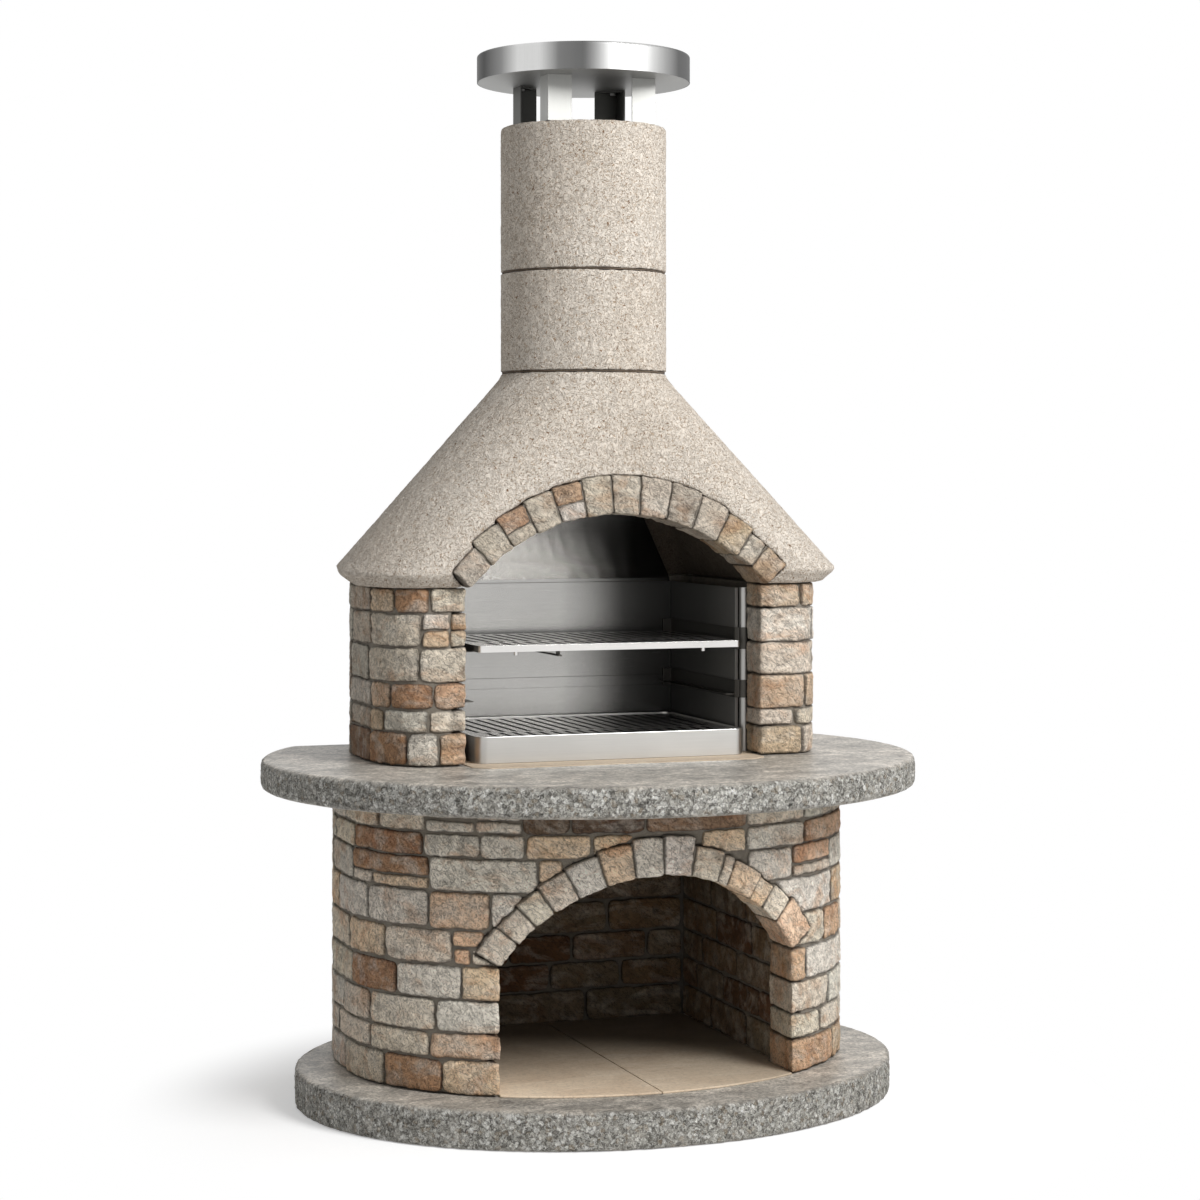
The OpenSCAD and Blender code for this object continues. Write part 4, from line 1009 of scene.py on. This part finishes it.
def eased(name, node, width, material, segments=2):
    """A copy of a CAD node whose sharp edges are slightly rounded."""
    obj = joined_copy(name, [node])
    shape = bmesh.new()
    shape.from_mesh(obj.data)
    bmesh.ops.dissolve_limit(shape, angle_limit=math.radians(1), verts=shape.verts, edges=shape.edges)
    shape.to_mesh(obj.data)
    shape.free()
    step = obj.modifiers.new("ease", "BEVEL")
    step.width = width
    step.segments = segments
    step.limit_method = "ANGLE"
    step.angle_limit = math.radians(40)
    baked(obj)
    finish_piece(obj, material, [node])
    obj.data.set_sharp_from_angle(angle=math.radians(12))
    return obj


for node, material, width in [
    ("ember_tray", STEEL_PAN, 0.8 * MM),
    ("tray_ledges", STEEL_PAN, 0.4 * MM),
    ("cooking_grate", STEEL_GRATE, 0.8 * MM),
    ("charcoal_grate", STEEL_GRATE, 0.8 * MM),
    ("grate_handle", STEEL_DARK, 0.5 * MM),
]:
    eased("formed_" + node, node, width, material)
for node in ["rail_upper_left", "rail_upper_right", "rail_lower_left", "rail_lower_right"]:
    eased("formed_" + node, node, 0.4 * MM, STEEL_DARK)
for node, material in [
    ("hearth_tile_left", HEARTH),
    ("hearth_tile_right", HEARTH),
    ("fire_plate", FIRECLAY),
]:
    eased("fired_" + node, node, 1.2 * MM, material)
# The rear legs take the darker steel, as painted shade
for end, material in [("front", STEEL_LEG), ("rear", STEEL_LEG_SHADED)]:
    for side in ["left", "right"]:
        node = "cap_leg_" + end + "_" + side
        eased("formed_" + node, node, 0.6 * MM, material)
for node in ["liner_back", "smoke_sheet"]:
    eased("formed_" + node, node, 0.3 * MM, STEEL_SHEET, 1)
for node in ["liner_left", "liner_right"]:
    eased("formed_" + node, node, 0.3 * MM, STEEL_SIDE, 1)

# CAD nodes that keep their own shape
KEPT = {
    MORTAR: ["lower_wall_back", "rear_wall", "lower_arch_joints", "hood_arch_joints"],
    SEAM: ["chimney_bed_lower", "chimney_bed_upper"],
    STEEL_POST: ["post_left", "post_right"],
    STEEL_CAP: ["cap_shell"],
    STEEL_SHADED_UNDER: ["cap_underside"],
    STEEL_LEG: ["cap_anchors", "cap_bolts"],
}
for material, nodes in KEPT.items():
    for node in nodes:
        mesh = frame["nodes"][node].data
        mesh.materials.clear()
        mesh.materials.append(material)


# Floor, world, lamps and camera

def seen_white(tree):
    """1 where a ray comes from the camera, a reflection or a transmission."""
    rays = tree.nodes.new("ShaderNodeLightPath")
    first = tree.nodes.new("ShaderNodeMath")
    first.operation = "MAXIMUM"
    second = tree.nodes.new("ShaderNodeMath")
    second.operation = "MAXIMUM"
    tree.links.new(rays.outputs["Is Camera Ray"], first.inputs[0])
    tree.links.new(rays.outputs["Is Glossy Ray"], first.inputs[1])
    tree.links.new(first.outputs[0], second.inputs[0])
    tree.links.new(rays.outputs["Is Transmission Ray"], second.inputs[1])
    return second.outputs[0]


def make_world():
    """Even white light, weaker on the object than the white that the camera sees."""
    world = bpy.data.worlds.new("studio")
    world.use_nodes = True
    tree = world.node_tree
    tree.nodes.clear()
    fill = tree.nodes.new("ShaderNodeBackground")
    fill.inputs["Color"].default_value = (1, 1, 1, 1)
    fill.inputs["Strength"].default_value = 0.4
    seen = tree.nodes.new("ShaderNodeBackground")
    seen.inputs["Color"].default_value = (1, 1, 1, 1)
    seen.inputs["Strength"].default_value = 1.0
    mix = tree.nodes.new("ShaderNodeMixShader")
    out = tree.nodes.new("ShaderNodeOutputWorld")
    tree.links.new(seen_white(tree), mix.inputs["Fac"])
    tree.links.new(fill.outputs[0], mix.inputs[1])
    tree.links.new(seen.outputs[0], mix.inputs[2])
    tree.links.new(mix.outputs[0], out.inputs["Surface"])
    bpy.context.scene.world = world


# How far from the middle the floor's own shade starts to fade, and where it is white
FADE_START = 0.66
FADE_END = 1.0


def make_floor():
    """A pale floor that keeps the object's shadow and fades to white further out."""
    bpy.ops.mesh.primitive_circle_add(vertices=96, radius=40, fill_type="NGON", location=(0, 0, -0.0005))
    floor = bpy.context.object
    floor.name = "studio_floor"
    material = bpy.data.materials.new("studio_floor")
    material.use_nodes = True
    tree = material.node_tree
    shader = tree.nodes["Principled BSDF"]
    shader.inputs["Base Color"].default_value = (0.86, 0.86, 0.86, 1)
    shader.inputs["Roughness"].default_value = 1.0
    shader.inputs["Specular IOR Level"].default_value = 0.0
    glow = tree.nodes.new("ShaderNodeEmission")
    glow.inputs["Strength"].default_value = 0.3
    both = tree.nodes.new("ShaderNodeAddShader")
    tree.links.new(shader.outputs[0], both.inputs[0])
    tree.links.new(glow.outputs[0], both.inputs[1])
    white = tree.nodes.new("ShaderNodeEmission")
    place = tree.nodes.new("ShaderNodeTexCoord")
    away = tree.nodes.new("ShaderNodeVectorMath")
    away.operation = "LENGTH"
    tree.links.new(place.outputs["Object"], away.inputs[0])
    fade = tree.nodes.new("ShaderNodeMapRange")
    fade.inputs["From Min"].default_value = FADE_START
    fade.inputs["From Max"].default_value = FADE_END
    fade.interpolation_type = "SMOOTHSTEP"
    tree.links.new(away.outputs["Value"], fade.inputs["Value"])
    share = tree.nodes.new("ShaderNodeMath")
    share.operation = "MULTIPLY"
    tree.links.new(fade.outputs[0], share.inputs[0])
    tree.links.new(seen_white(tree), share.inputs[1])
    mix = tree.nodes.new("ShaderNodeMixShader")
    tree.links.new(share.outputs[0], mix.inputs["Fac"])
    lift = tree.nodes.new("ShaderNodeMixShader")
    tree.links.new(seen_white(tree), lift.inputs["Fac"])
    tree.links.new(shader.outputs[0], lift.inputs[1])
    tree.links.new(both.outputs[0], lift.inputs[2])
    tree.links.new(lift.outputs[0], mix.inputs[1])
    tree.links.new(white.outputs[0], mix.inputs[2])
    tree.links.new(mix.outputs[0], tree.nodes["Material Output"].inputs["Surface"])
    floor.data.materials.append(material)


def area_lamp(name, place, target, size, power):
    """A round lamp at place, aimed at target."""
    data = bpy.data.lights.new(name, "AREA")
    data.shape = "DISK"
    data.size = size
    data.energy = power
    lamp = link(bpy.data.objects.new(name, data))
    lamp.location = place
    lamp.rotation_euler = (Vector(target) - Vector(place)).to_track_quat("-Z", "Y").to_euler()


# The photograph's camera, level and left of the middle: place, turn in degrees, lens and shift
CAMERA_PLACE = (-1.8615, -5.1795, 1.25)
CAMERA_TURN = -19.5325
CAMERA_LENS = 83.31
CAMERA_SHIFT = -0.1086


def make_camera():
    data = bpy.data.cameras.new("photo_camera")
    data.lens = CAMERA_LENS
    data.sensor_width = 36
    data.shift_y = CAMERA_SHIFT
    data.clip_end = 100
    camera = link(bpy.data.objects.new("photo_camera", data))
    camera.location = CAMERA_PLACE
    camera.rotation_euler = (math.radians(90), 0, math.radians(CAMERA_TURN))
    bpy.context.scene.camera = camera


make_world()
make_floor()
area_lamp("key", place=(1.9, -3.6, 3.8), target=(0, 0, 0.9), size=2.2, power=230)
area_lamp("side", place=(4.5, 0.5, 2.6), target=(0, 0, 1.0), size=2.5, power=12)
make_camera()
bpy.context.scene.view_settings.view_transform = "Standard"
